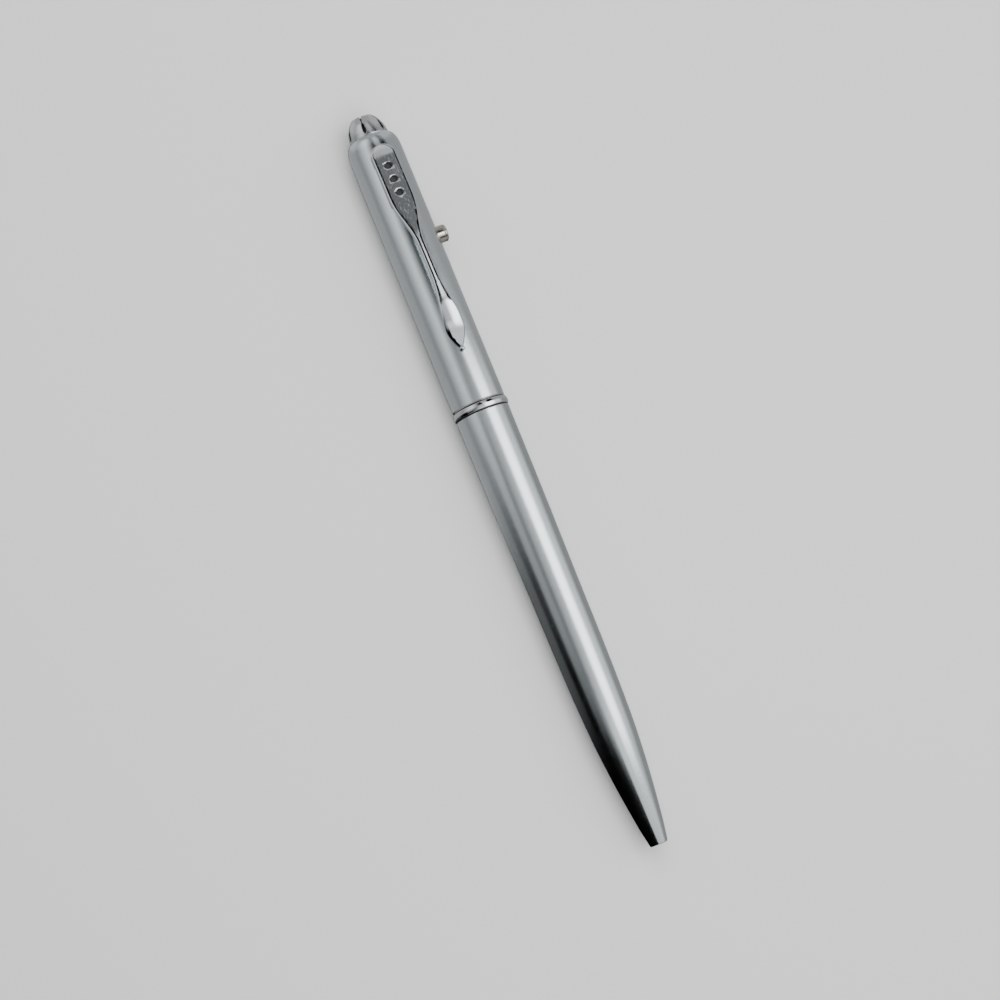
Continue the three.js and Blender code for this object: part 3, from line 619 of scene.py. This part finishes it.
def clipWalls():
    # the walls folded down round the head, with their lower edge following the barrel
    walls = slab(clipOutline(0.02, clip["wallLength"]), -1, 0)
    core = slab(clipOutline(clip["wall"], clip["wallLength"]), -2, 1)
    bmesh.ops.translate(core, vec=(-0.3 * mm, 0, 0), verts=core.verts)
    walls = carve(walls, core)
    for vert in walls.verts:
        distance, across = clip["end"] - vert.co.x / mm, vert.co.y / mm
        if vert.co.z > -0.5 * mm:
            vert.co.z = (topHeight(distance, across, 1.0) - clip["wallTop"]) * mm
        else:
            clear = barrelRadius + (clip["gap"] if distance > clip["backLength"] else clip["backGap"])
            if distance < 2.0:
                clear -= 0.18 * (2.0 - distance)
            vert.co.z = sqrt(max(clear ** 2 - across ** 2, 1)) * mm
    bmesh.ops.recalc_face_normals(walls, faces=walls.faces)
    return walls


def makeClip():
    sheet = slab(clipOutline(0, clip["reach"]), -clip["sheet"], 0)
    soften(sheet, clip["topEdge"], 4, 60, lambda middle: middle.z > -0.01)
    radius = clip["hole"] / 2
    punches = [cylinder(radius, 4, (clip["end"] - distance, 0, 0), 48) for distance in clip["holes"]]
    sheet = carve(sheet, *punches)

    def atHole(middle):
        return any(abs((middle.x - clip["end"] + distance) ** 2 + middle.y ** 2 - radius ** 2) < 0.02
                   for distance in clip["holes"])

    soften(sheet, clip["holeEdge"], 2, 50, atHole)
    places = [clip["end"] - clip["reach"] * step / clip["bends"] for step in range(1, clip["bends"])]
    sliced(sheet, places, Vector((1, 0, 0)))
    sliced(sheet, clip["crossBends"], Vector((0, 1, 0)))
    for vert in sheet.verts:
        vert.co.z += topHeight(clip["end"] - vert.co.x / mm, vert.co.y / mm, 1.2) * mm
    # the tongue that hooks into the barrel, and the bead that rests on it
    front, back = clip["tongue"]
    floor, half = clip["tongueFloor"], clip["tongueHalf"]
    tongue = brick((front, -half, floor), (back, half, barrelRadius + clip["tongueTop"]))
    foot = brick((front - clip["foot"], -half, floor), (back, half, floor + clip["footSheet"]))
    bead = bmesh.new()
    bmesh.ops.create_uvsphere(bead, u_segments=32, v_segments=20, radius=clip["bead"] * mm)
    beadAt = Vector((clip["end"] - clip["reach"] - clip["beadOut"], 0,
                     barrelRadius + clip["bead"] + clip["beadGap"])) * mm
    bmesh.ops.translate(bead, vec=beadAt, verts=bead.verts)
    return together(sheet, clipWalls(), soften(tongue, clip["tongueEdge"]), soften(foot, clip["tongueEdge"]),
                    bead)


standIn("clip", makeClip(), finishes["chrome"], "clip", 32)
# painted shade: black discs under the clip's holes stand in for the shadow seen through them
shades = []
for distance in clip["holes"]:
    height = barrelRadius + heightAt(clipProfile, distance) - clip["sheet"] - clip["shadeSheet"]
    shades.append(cylinder(clip["shade"], clip["shadeSheet"], (clip["end"] - distance, 0, height), 32))
finished("clipHolePaintedShade", together(*shades), finishes["black"], "clip")  # dark inside the holes
print("clip made")

# ---- push button ----
button = {"radius": 1.5, "flange": 1.95, "flangeBottom": 3.11, "flangeTop": 3.56, "stem": 1.0,
          "stemEnd": 2.56, "reach": 6.28, "dish": 0.08, "edge": 0.05,
          # the groove and the rounded rim, as (depth under the top, inset from the side) points
          "rim": [(0.62, 0), (0.56, 0.06), (0.5, 0), (0.28, 0), (0.07, 0.14), (0, 0.38), (0, 0.5),
                  (0.08, 0.66)]}
knob = turnAcross(
    [(button["stemEnd"], 0), (button["stemEnd"], button["stem"]), (button["flangeBottom"], button["stem"]),
     (button["flangeBottom"], button["flange"]), (button["flangeTop"], button["flange"]),
     (button["flangeTop"], button["radius"])]
    + [(button["reach"] - depth, button["radius"] - inset) for depth, inset in button["rim"]]
    + [(button["reach"] - button["dish"], 0)], 80)
standIn("pushButton", soften(knob, button["edge"]), finishes["nickel"], "push_button")

# ---- tail bezel: a dome slit into petals round the lamp ----
bezel = {"base": 3.49, "end": 1.95, "mouth": 1.6, "domeStart": upperEnd + 0.06, "flange": 4.11, "skirt": 3.43,
         "flangeStart": span("tail_bezel")[0], "flangeEnd": upperEnd - 3.05, "bush": 2.73, "lampFlange": 2.0,
         "lampSeat": 1.1, "edge": 0.06, "notchHalf": 1.45, "notchFloor": 2.95, "outside": 9,
         "slits": 6, "turn": -15, "slitEnd": 0.3, "slitBase": 0.66, "slitDepth": 1.5, "slitSlope": 0.375,
         "shadeLinerBore": 1.52, "shadeLinerIn": 0.2}
domeTurn = acos(bezel["end"] / bezel["base"])
domeStretch = (penEnd - bezel["domeStart"]) / sin(domeTurn)
dome = [(bezel["domeStart"] + domeStretch * sin(turned), bezel["base"] * cos(turned))
        for turned in (domeTurn * step / 16 for step in range(17))]
lampBack, lampTop = span("lamp_lens")
bezelMesh = turn([(bezel["flangeStart"], bezel["bush"]), (bezel["flangeStart"], bezel["flange"]),
                  (bezel["flangeEnd"], bezel["flange"]), (bezel["flangeEnd"], bezel["skirt"]),
                  (bezel["domeStart"], bezel["skirt"])] + dome
                 + [(penEnd, bezel["mouth"]), (lampBack + bezel["lampSeat"], bezel["mouth"]),
                    (lampBack + bezel["lampSeat"], bezel["lampFlange"]), (lampBack, bezel["lampFlange"]),
                    (lampBack, bezel["bush"])], 144)


def slitCutter(angle):
    # a wedge that lies along the dome, widest near its base
    far = penEnd - bezel["domeStart"] + 1
    base, tip = bezel["slitBase"] / 2, bezel["slitEnd"] / 2
    half = [(0.35, 0.1), (0.8, base), (2.1, base * 0.8), (2.5, tip * 0.5), (far - 2.2, tip * 0.5),
            (far - 1.5, tip), (far, tip)]
    mesh = slab(half + [(x, -y) for x, y in reversed(half)], -bezel["slitDepth"], 4)
    slope = Matrix.Rotation(bezel["slitSlope"], 3, "Y")
    bmesh.ops.rotate(mesh, cent=(0, 0, 0), matrix=slope, verts=mesh.verts)
    bmesh.ops.translate(mesh, vec=(bezel["domeStart"] * mm, 0, bezel["base"] * mm), verts=mesh.verts)
    bmesh.ops.rotate(mesh, cent=(0, 0, 0), matrix=Matrix.Rotation(radians(angle), 3, "X"), verts=mesh.verts)
    return mesh


slits = [slitCutter(bezel["turn"] + 360 / bezel["slits"] * i) for i in range(bezel["slits"])]
notch = brick((bezel["flangeStart"] - 1, -bezel["notchHalf"], bezel["notchFloor"]),
              (bezel["flangeEnd"] + 0.05, bezel["notchHalf"], bezel["outside"]))
petals = soften(carve(bezelMesh, notch, *slits), bezel["edge"], 2, 38)
standIn("tailBezel", petals, finishes["greyMetal"], "tail_bezel", 30)
# a thin black plastic liner round the lamp: a guessed part that is also painted shade, darkening the inside
# of the slits
shadeLiner = turn(tubeOutline(lampBack + bezel["lampSeat"] + 0.05, penEnd - bezel["shadeLinerIn"], bezel["shadeLinerBore"],
                         bezel["mouth"]), 64)
finished("bezelShadeLiner", shadeLiner, finishes["black"], "lamp_bush")  # dark behind the slits
print("button and bezel made")

# ---- lamp ----
lamp = {"radius": 1.5, "flange": 1.9, "flangeHeight": 1.0, "edge": 0.06, "leadEdge": 0.05,
        "postBase": 0.2, "postThick": 0.25, "postHalf": 0.3, "postPlace": 0.45, "postEdge": 0.08,
        # the cup and its hollow, as (height over the lens's base, radius) points, and the chip in it
        "cup": [(2.2, 0), (2.2, 0.42), (3.0, 0.62), (3.0, 0)], "cupEdge": 0.03,
        "hollow": [(2.6, 0), (2.6, 0.3), (3.2, 0.5), (3.2, 0)],
        "chipLow": 2.62, "chipHigh": 2.78, "chipHalf": 0.15, "chipEdge": 0.02}
lensOutline = [(lampBack, 0), (lampBack, lamp["flange"]), (lampBack + lamp["flangeHeight"], lamp["flange"]),
               (lampBack + lamp["flangeHeight"], lamp["radius"])]
lensOutline += [(lampTop - lamp["radius"] * (1 - sin(step * pi / 28)), lamp["radius"] * cos(step * pi / 28))
                for step in range(14)] + [(lampTop, 0)]
standIn("lampLens", soften(turn(lensOutline), lamp["edge"]), finishes["epoxy"], "lamp_lens")
for leadName, node, side, height in (("lampAnode", "lamp_anode", 1, 2.5),
                                     ("lampCathode", "lamp_cathode", -1, 2.9)):
    standIn(leadName, refined(node, lamp["leadEdge"]), finishes["nickel"], node)
    middle = side * lamp["postPlace"]
    post = brick((lampBack + lamp["postBase"], -lamp["postThick"], middle - lamp["postHalf"]),
                 (lampBack + height, lamp["postThick"], middle + lamp["postHalf"]))
    finished(leadName + "Post", soften(post, lamp["postEdge"]), finishes["steel"], node)
cup, hollow = (turn([(lampBack + height, radius) for height, radius in lamp[part]], 48)
               for part in ("cup", "hollow"))
finished("lampCup", soften(carve(cup, hollow), lamp["cupEdge"]), finishes["nickel"], "lamp_cathode")
chip = brick((lampBack + lamp["chipLow"], -lamp["chipHalf"], -lamp["chipHalf"]),
             (lampBack + lamp["chipHigh"], lamp["chipHalf"], lamp["chipHalf"]))
finished("lampChip", soften(chip, lamp["chipEdge"]), finishes["ink"], "lamp_cathode")
standIn("lampBush", refined("lamp_bush", lamp["leadEdge"]), finishes["ivory"], "lamp_bush")
print("lamp made")

# ---- refill ----
tip = span("refill_tip")[0]
tubeStart, refillEnd = span("refill_tube")
refill = {
    "radius": 1.175, "tip": 0.85, "ball": 0.35, "bore": 0.875, "ink": 0.81, "edge": 0.04, "crimp": 0.05,
    # the tip's outline from its ball end, and its spigot from the tube's end, as (distance, radius) points
    "nose": [(0.62, 0), (0.62, 0.38), (0.28, 0.38), (0.2, 0.44), (0.9, 0.53), (0.95, 0.6), (2.6, 0.85),
             (5.0, 0.85), (5.05, 0.79), (5.2, 0.79), (5.25, 0.85)],
    "spigot": [(-0.63, 0.85), (-0.13, 1.175), (-0.03, 1.175), (-0.03, 0.825), (2.97, 0.825), (2.97, 0)],
    "end": [(1.5, 1.175), (1.4, 1.115), (1.2, 1.115), (1.1, 1.175), (0, 1.175), (0, 0.875)],
    "collarBore": 1.205, "collar": 1.905, "collarEdge": 0.08,
    "spring": 1.755, "wire": 0.4, "springTurns": 9.5, "closeTurn": 1.02, "keep": 0.63,
}
tipOutline = [(tip + distance, radius) for distance, radius in refill["nose"]]
tipOutline += [(tubeStart + distance, radius) for distance, radius in refill["spigot"]]
standIn("refillTip", soften(turn(tipOutline), refill["edge"], 2, 25), finishes["brass"], "refill_tip")
ball = bmesh.new()
bmesh.ops.create_uvsphere(ball, u_segments=32, v_segments=20, radius=(refill["ball"] - 0.01) * mm)
bmesh.ops.translate(ball, vec=((tip + refill["ball"]) * mm, 0, 0), verts=ball.verts)
standIn("writingBall", ball, finishes["steel"], "writing_ball")
tubeOutside = [(tubeStart, refill["bore"]), (tubeStart, refill["radius"])]
for crimpAt in (1.2, 2.1):
    tubeOutside += [(tubeStart + crimpAt, refill["radius"]),
                    (tubeStart + crimpAt + 0.12, refill["radius"] - refill["crimp"]),
                    (tubeStart + crimpAt + 0.24, refill["radius"])]
tubeOutside += [(refillEnd - distance, radius) for distance, radius in refill["end"]]
standIn("refillTube", soften(turn(tubeOutside, 64), refill["edge"], 2, 25), finishes["nickel"], "refill_tube")
inkStart, inkEnd = span("refill_ink")
ink = turn([(inkStart, 0), (inkStart, refill["ink"]), (inkEnd, refill["ink"]), (inkEnd, 0)], 48)
standIn("refillInk", soften(ink, 0.1), finishes["ink"], "refill_ink")
collar = turn(tubeOutline(*span("spring_collar"), refill["collarBore"], refill["collar"]), 64)
standIn("springCollar", soften(collar, refill["collarEdge"]), finishes["ivory"], "spring_collar")
springStart, springEnd = span("refill_spring")
openTurns = refill["springTurns"] - 2
pitch = (springEnd - springStart - 3 * refill["wire"]) / openTurns
coils = [helix(refill["spring"], refill["wire"], start, rise, turns) for start, rise, turns in (
    (springStart + refill["wire"] / 2, refill["wire"] * refill["closeTurn"], 1),
    (springStart + refill["wire"] * (refill["closeTurn"] + 0.5), pitch, openTurns),
    (springEnd - refill["wire"] * (refill["closeTurn"] + 0.5), refill["wire"] * refill["closeTurn"], 1))]
refillSpring = standIn("refillSpring", together(*coils), finishes["steel"], "refill_spring", weighted=False)
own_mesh(refillSpring)
print("refill made")

# ---- twist mechanism ----
plungerStart, plungerEnd = span("refill_plunger")
pinLow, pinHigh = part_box("follower_pin")
pinAt = ((pinLow.x + pinHigh.x) / 2 - noseEnd) / mm
twist = {
    "pin": 0.5, "pinReach": 3.085, "pinHole": 0.53, "slot": 0.64, "travel": 5.2, "edge": 0.08, "outside": 9,
    "plungerNeck": 1.205, "plunger": 1.735,
    "bodyBore": 2.585, "body": 3.285, "bodyEdge": 0.06, "groove": 0.15, "land": 0.03, "boss": 3.185,
    "thread": 3.635, "threadLength": 4.15, "threadPitch": 0.75, "threadTurns": 4.2,
    "spindleBore": 1.885, "spindle": 2.435, "spindleHead": 2.985, "headLength": 1.05, "spindleFloor": 2.2,
    "camSteps": 18,
    "hubBore": 1.915, "hub": 4.11, "hubNose": 4.01, "hubBack": 3.86, "hubFloor": 0.8, "hubEdge": 0.04,
    "splitHalf": 0.25, "splitLength": 2.6, "grooves": (2.9, 3.3, 3.7), "grooveWidth": 0.14,
    "grooveDepth": 0.08,
}


def crossBar(radius, reach, station, sides=48):
    mesh = bmesh.new()
    upright = Matrix.Translation((station * mm, 0, 0)) @ Matrix.Rotation(pi / 2, 4, "X")
    bmesh.ops.create_cone(mesh, cap_ends=True, segments=sides, radius1=radius * mm, radius2=radius * mm,
                          depth=2 * reach * mm, matrix=upright)
    return mesh


plunger = turn([(refillEnd + 0.1, 0), (refillEnd + 0.1, twist["plungerNeck"]),
                (plungerStart, twist["plungerNeck"]), (plungerStart, twist["plunger"]),
                (plungerEnd, twist["plunger"]), (plungerEnd, 0)], 64)
plunger = carve(plunger, crossBar(twist["pinHole"], 6, pinAt))
standIn("refillPlunger", soften(plunger, twist["edge"], 2, 40), finishes["black"], "refill_plunger")
pin = crossBar(twist["pin"], twist["pinReach"], pinAt)
standIn("followerPin", soften(pin, twist["edge"], 2, 40), finishes["steel"], "follower_pin")

bodyStart, bodyEnd = span("mechanism_body")
threadStart = frontEnd - twist["threadLength"]
neck, land = twist["body"] - twist["groove"], twist["body"] + twist["land"]
housing = turn([(bodyStart, twist["bodyBore"]), (bodyStart, twist["body"]),
                (threadStart - 0.5, twist["body"]), (threadStart - 0.3, neck), (threadStart - 0.05, neck),
                (threadStart + 0.1, land), (threadStart + 3.75, land), (threadStart + 3.85, twist["boss"]),
                (bodyEnd, twist["boss"]), (bodyEnd, twist["bodyBore"])], 96)
slotEnds = (pinAt - twist["travel"], pinAt)
slotTool = brick((slotEnds[0], -twist["outside"], -twist["slot"]),
                 (slotEnds[1], twist["outside"], twist["slot"]))
housing = carve(housing, slotTool, *(crossBar(twist["slot"], twist["outside"], end) for end in slotEnds))
soften(housing, twist["bodyEdge"], 2, 40)
ridge = 2 * (twist["thread"] - twist["body"] - 0.03)
thread = helix(twist["body"] + 0.02, ridge, threadStart + 0.35, twist["threadPitch"], twist["threadTurns"],
               stepsPerTurn=48, sides=8, squareness=0.8)
standIn("mechanismBody", together(housing, thread), finishes["brass"], "mechanism_body")

spindleStart, spindleEnd = span("cam_spindle")
spindleFloor = bodyEnd - twist["spindleFloor"]
spindle = turn([(spindleStart, twist["spindleBore"]), (spindleStart, twist["spindleHead"]),
                (spindleStart + twist["headLength"], twist["spindleHead"]),
                (spindleStart + twist["headLength"], twist["spindle"]), (bodyEnd, twist["spindle"]),
                (bodyEnd, twist["spindleBore"]), (spindleEnd, twist["spindleBore"]), (spindleEnd, 0),
                (spindleFloor, 0), (spindleFloor, twist["spindleBore"])], 96)
camCuts = []
for step in range(twist["camSteps"] + 1):
    bar = crossBar(twist["slot"], 6, 0, 20)
    angle = -pi * step / twist["camSteps"]
    bmesh.ops.rotate(bar, cent=(0, 0, 0), matrix=Matrix.Rotation(angle, 3, "X"), verts=bar.verts)
    at = pinAt - twist["travel"] * step / twist["camSteps"]
    bmesh.ops.translate(bar, vec=(at * mm, 0, 0), verts=bar.verts)
    camCuts.append(bar)
standIn("camSpindle", carve(spindle, *camCuts), finishes["steel"], "cam_spindle")

hubStart, hubEnd = span("drive_hub")
hubFloor = hubEnd - twist["hubFloor"]
hub = turn([(hubStart, twist["hubBore"]), (hubStart, twist["hubNose"]), (hubStart + 0.25, twist["hub"]),
            (hubEnd - 0.4, twist["hub"]), (hubEnd, twist["hubBack"]), (hubEnd, 0), (hubFloor, 0),
            (hubFloor, twist["hubBore"])], 96)
outside, half, splitEnd = twist["outside"], twist["splitHalf"], hubStart + twist["splitLength"]
splits = [brick((hubStart - 1, -across, -upright), (splitEnd, across, upright))
          for across, upright in ((outside, half), (half, outside))]
grooves = [turn(tubeOutline(hubStart + at, hubStart + at + twist["grooveWidth"],
                            twist["hub"] - twist["grooveDepth"], 5), 96) for at in twist["grooves"]]
hub = carve(hub, *splits, *grooves)
standIn("driveHub", soften(hub, twist["hubEdge"], 2, 40), finishes["brass"], "drive_hub")
contactStart, contactEnd = span("front_contact")
contact = {"radius": 3.4, "sheet": 0.2, "rise": 1.3, "tip": 0.7, "edge": 0.05}
disc = turn([(contactStart, 0), (contactStart, contact["radius"]),
             (contactStart + contact["sheet"], contact["radius"]),
             (contactStart + contact["sheet"], contact["rise"]), (contactEnd, contact["tip"]),
             (contactEnd, 0)], 64)
standIn("frontContact", soften(disc, contact["edge"]), finishes["nickel"], "front_contact")
print("twist mechanism made")

# ---- cells in their sleeve, and the battery spring ----
cell = {
    "sleeveInner": 4.0, "sleeveOuter": 4.12, "edge": 0.07, "gasketEdge": 0.04,
    # outlines as (distance, radius) points: the can's back from its end, the rest from the cap's face
    "canBack": [(0.06, 0), (0.06, 2.9), (0, 3.1), (0, 3.75), (0.2, 3.95)],
    "canFront": [(0.6, 3.95), (0.4, 3.75), (0.4, 3.42), (1.6, 3.42), (1.6, 0)],
    "gasket": tubeOutline(0.25, 1.55, 3.19, 3.38),
    "cap": [(0.05, 0), (0.05, 2.2), (0, 2.35), (0, 3.0), (0.15, 3.15), (1.55, 3.15), (1.55, 0)],
}


def cellPiece(kind, number, outline, edge, steps, finish):
    mesh = soften(turn(outline, 96), edge, steps)
    standIn(f"cell{kind}{number}", mesh, finishes[finish], f"cell_{number}_{kind.lower()}")


sleeve = turn(tubeOutline(*span("cell_sleeve"), cell["sleeveInner"], cell["sleeveOuter"]), 96)
standIn("cellSleeve", sleeve, finishes["film"], "cell_sleeve")
for number in (1, 2, 3):
    front, back = span(f"cell_{number}_cap")[0], span(f"cell_{number}_can")[1]
    can = [(back - distance, radius) for distance, radius in cell["canBack"]]
    can, gasket, cap = (first + [(front + distance, radius) for distance, radius in cell[part]]
                        for first, part in ((can, "canFront"), ([], "gasket"), ([], "cap")))
    cellPiece("Can", number, can, cell["edge"], 3, "nickel")
    cellPiece("Gasket", number, gasket, cell["gasketEdge"], 2, "black")
    cellPiece("Cap", number, cap, cell["edge"], 3, "steel")
standIn("batterySpring", refined("battery_spring", 0.01, 1), finishes["nickel"], "battery_spring", 60)
print("cells made")

# ---- circuit board, switch and leaf ----
for name, node, edge, steps, finish in (("boardCarrier", "board_carrier", 0.12, 2, "black"),
                                        ("circuitBoard", "circuit_board", 0.04, 1, "board"),
                                        ("switchBody", "switch_body", 0.12, 2, "black"),
                                        ("earthLeaf", "earth_leaf", 0.02, 1, "brass")):
    standIn(name, refined(node, edge, steps), finishes[finish], node)
fittings = {"plunger": 0.85, "plungerEdge": 0.1, "solder": 0.45, "solderHeight": 0.3, "solderSunk": 0.05,
            "pinRow": 1.6, "pinOut": 2.75, "legOut": 2.3, "legHalf": 0.5, "legWidth": 0.3, "legLow": 0.14,
            "legHigh": 0.02, "legEdge": 0.03, "resistorStart": 7.0, "resistorEnd": 8.6, "resistorHigh": 0.5,
            "resistorLeft": 0.9, "resistorRight": 1.7, "resistorEdge": 0.05}
carrierStart, carrierEnd = span("board_carrier")
boardTop = (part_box("circuit_board")[0].y - penAxis.y) / mm
plungerLow, plungerHigh = (Vector(corner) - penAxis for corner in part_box("switch_plunger"))
switchPlunger = turnAcross([(-plungerHigh.y / mm, 0), (-plungerHigh.y / mm, fittings["plunger"]),
                            (-plungerLow.y / mm, fittings["plunger"]), (-plungerLow.y / mm, 0)])
standIn("switchPlunger", soften(switchPlunger, fittings["plungerEdge"], 3), finishes["ivory"],
        "switch_plunger")
pins = [(buttonAt + out, row) for out in (-fittings["pinOut"], fittings["pinOut"])
        for row in (-fittings["pinRow"], fittings["pinRow"])]
pins += [(carrierEnd - 2.2, 1.27), (carrierEnd - 2.2, -1.27), (carrierStart + 3.1, 0),
         (carrierStart + 5.2, 2.4)]
blobs = []
for station, row in pins:
    blob = bmesh.new()
    bmesh.ops.create_uvsphere(blob, u_segments=20, v_segments=12, radius=fittings["solder"] * mm)
    flatter = (1, fittings["solderHeight"] / fittings["solder"], 1)
    bmesh.ops.scale(blob, vec=flatter, verts=blob.verts)
    bmesh.ops.bisect_plane(blob, geom=blob.verts[:] + blob.edges[:] + blob.faces[:],
                           plane_co=(0, fittings["solderSunk"] * mm, 0), plane_no=(0, 1, 0), clear_outer=True)
    bmesh.ops.holes_fill(blob, edges=blob.edges)
    bmesh.ops.translate(blob, vec=(station * mm, boardTop * mm, row * mm), verts=blob.verts)
    blobs.append(blob)
finished("solderJoints", together(*blobs), finishes["nickel"], "lamp_anode")
legs = []
half, width = fittings["legHalf"], fittings["legWidth"]
for middle in (buttonAt - fittings["legOut"], buttonAt + fittings["legOut"]):
    for row in (-fittings["pinRow"], fittings["pinRow"]):
        leg = brick((middle - half, boardTop - fittings["legLow"], row - width),
                    (middle + half, boardTop - fittings["legHigh"], row + width))
        legs.append(soften(leg, fittings["legEdge"]))
finished("switchLegs", together(*legs), finishes["nickel"], "lamp_anode")
resistor = brick((carrierStart + fittings["resistorStart"], boardTop - fittings["resistorHigh"],
                  fittings["resistorLeft"]),
                 (carrierStart + fittings["resistorEnd"], boardTop, fittings["resistorRight"]))
finished("resistor", soften(resistor, fittings["resistorEdge"]), finishes["black"], "switch_body")
print("board made")


# ---- lights and floor ----
def makeFloor():
    half = 4
    mesh = bmesh.new()
    corners = [(-half, -half, 0), (half, -half, 0), (half, half, 0), (-half, half, 0)]
    mesh.faces.new([mesh.verts.new(corner) for corner in corners])
    floor = asObject("floor", mesh)
    floor.data.materials.append(startMaterial("paleFloor", Base_Color=(0.62, 0.62, 0.615, 1), Roughness=0.8,
                                              Specular_IOR_Level=0.1)[0])
    floor.visible_glossy = False  # the tent's own shades show in the metal instead


def makeFloorGlow():
    # a soft light from straight above that brightens the floor and isn't mirrored in the metal
    light = bpy.data.lights.new("floorGlow", "AREA")
    light.shape = "RECTANGLE"
    light.size, light.size_y, light.energy = 0.9, 0.5, 6
    lit = bpy.data.objects.new("floorGlow", light)
    lit.location = (0, 0, 0.4)
    lit.visible_camera = lit.visible_glossy = False
    bpy.context.scene.collection.objects.link(lit)


# a light tent over the pen. Each glow has its strength, its span of angle over the top in degrees,
# the button's side positive, and its span along the pen in metres, both with soft edges
tent = {
    "radius": 0.42, "half": 0.8,
    "glows": [
        (3.60, (4, 22, 38, 62), (-0.16, -0.07, 0.085, 0.11)),
        (0.85, (-30, 0, 70, 100), (-0.14, -0.06, 0.085, 0.11)),
        (1.05, (-20, -12, 40, 95), (-0.34, -0.28, -0.14, -0.06)),
        (0.55, (-48, -18, 4, 12), (-0.17, -0.10, -0.085, -0.05)),
        (0.38, (40, 60, 150, 175), (-9, -8, 8, 9)),
        (0.30, (-78, -56, -44, -26), (-0.07, 0.04, 8, 9)),
        (0.22, (-70, -58, -20, -5), (-0.12, -0.03, 8, 9)),
        (0.35, (-60, -40, -26, -14), (0.04, 0.1, 8, 9)),
        (1.70, (2, 8, 18, 26), (0.10, 0.12, 0.165, 0.185)),
        (0.50, (-4, 2, 20, 28), (0.22, 0.235, 0.6, 0.8)),
        (0.20, (0, 6, 22, 28), (0.06, 0.1, 8, 9)),
        (0.10, (44, 52, 150, 160), (0.06, 0.1, 8, 9)),
        (0.28, (-178, -170, 170, 178), (0.27, 0.38, 8, 9)),
        (0.40, (-178, -165, -80, -60), (0.0, 0.045, 8, 9)),
        (0.45, (-85, -65, -40, -20), (0.03, 0.07, 8, 9)),
        (0.12, (-178, -165, -110, -90), (-0.09, -0.02, 8, 9)),
    ],
}


def between(tree, value, rise, full, fade, gone):
    # one between full and fade, easing to nothing at rise and at gone
    up = addNode(tree, "MapRange", {"Value": value, "From Min": rise, "From Max": full},
                 interpolation_type="SMOOTHSTEP").outputs[0]
    down = addNode(tree, "MapRange", {"Value": value, "From Min": gone, "From Max": fade},
                   interpolation_type="SMOOTHSTEP").outputs[0]
    return sums(tree, "MULTIPLY", up, down)


def tentLight():
    material = bpy.data.materials.new("tentLight")
    material.use_nodes = True
    tree = material.node_tree
    tree.nodes.clear()
    place = addNode(tree, "SeparateXYZ", {0: addNode(tree, "TexCoord").outputs["Object"]}).outputs
    angle = sums(tree, "ARCTAN2", sums(tree, "MULTIPLY", place[1], -1.0), place[2])
    angle = sums(tree, "MULTIPLY", angle, 180 / pi)
    total = 0.0
    for strength, angles, stations in tent["glows"]:
        glow = sums(tree, "MULTIPLY", between(tree, angle, *angles), between(tree, place[0], *stations))
        total = sums(tree, "ADD", sums(tree, "MULTIPLY", glow, strength), total)
    emission = addNode(tree, "Emission", {"Color": (0.97, 0.99, 1, 1), "Strength": total})
    output = addNode(tree, "OutputMaterial")
    tree.links.new(emission.outputs[0], output.inputs[0])
    return material


def makeTent():
    mesh = bmesh.new()
    edge = [mesh.verts.new((x, 0, tent["radius"])) for x in (-tent["half"], tent["half"])]
    rib = mesh.edges.new(edge)
    bmesh.ops.spin(mesh, geom=edge + [rib], cent=(0, 0, 0), axis=(1, 0, 0), dvec=(0, 0, 0), angle=2 * pi,
                   steps=72, use_merge=True)
    thing = asObject("lightTent", mesh)
    thing.data.materials.append(tentLight())
    thing.visible_camera = False


makeFloor()
makeTent()
makeFloorGlow()
world = bpy.data.worlds.new("studio")
bpy.context.scene.world = world
world.use_nodes = True
world.node_tree.nodes["Background"].inputs["Color"].default_value = (0.55, 0.55, 0.55, 1)
print("lights set")

bpy.context.view_layer.update()
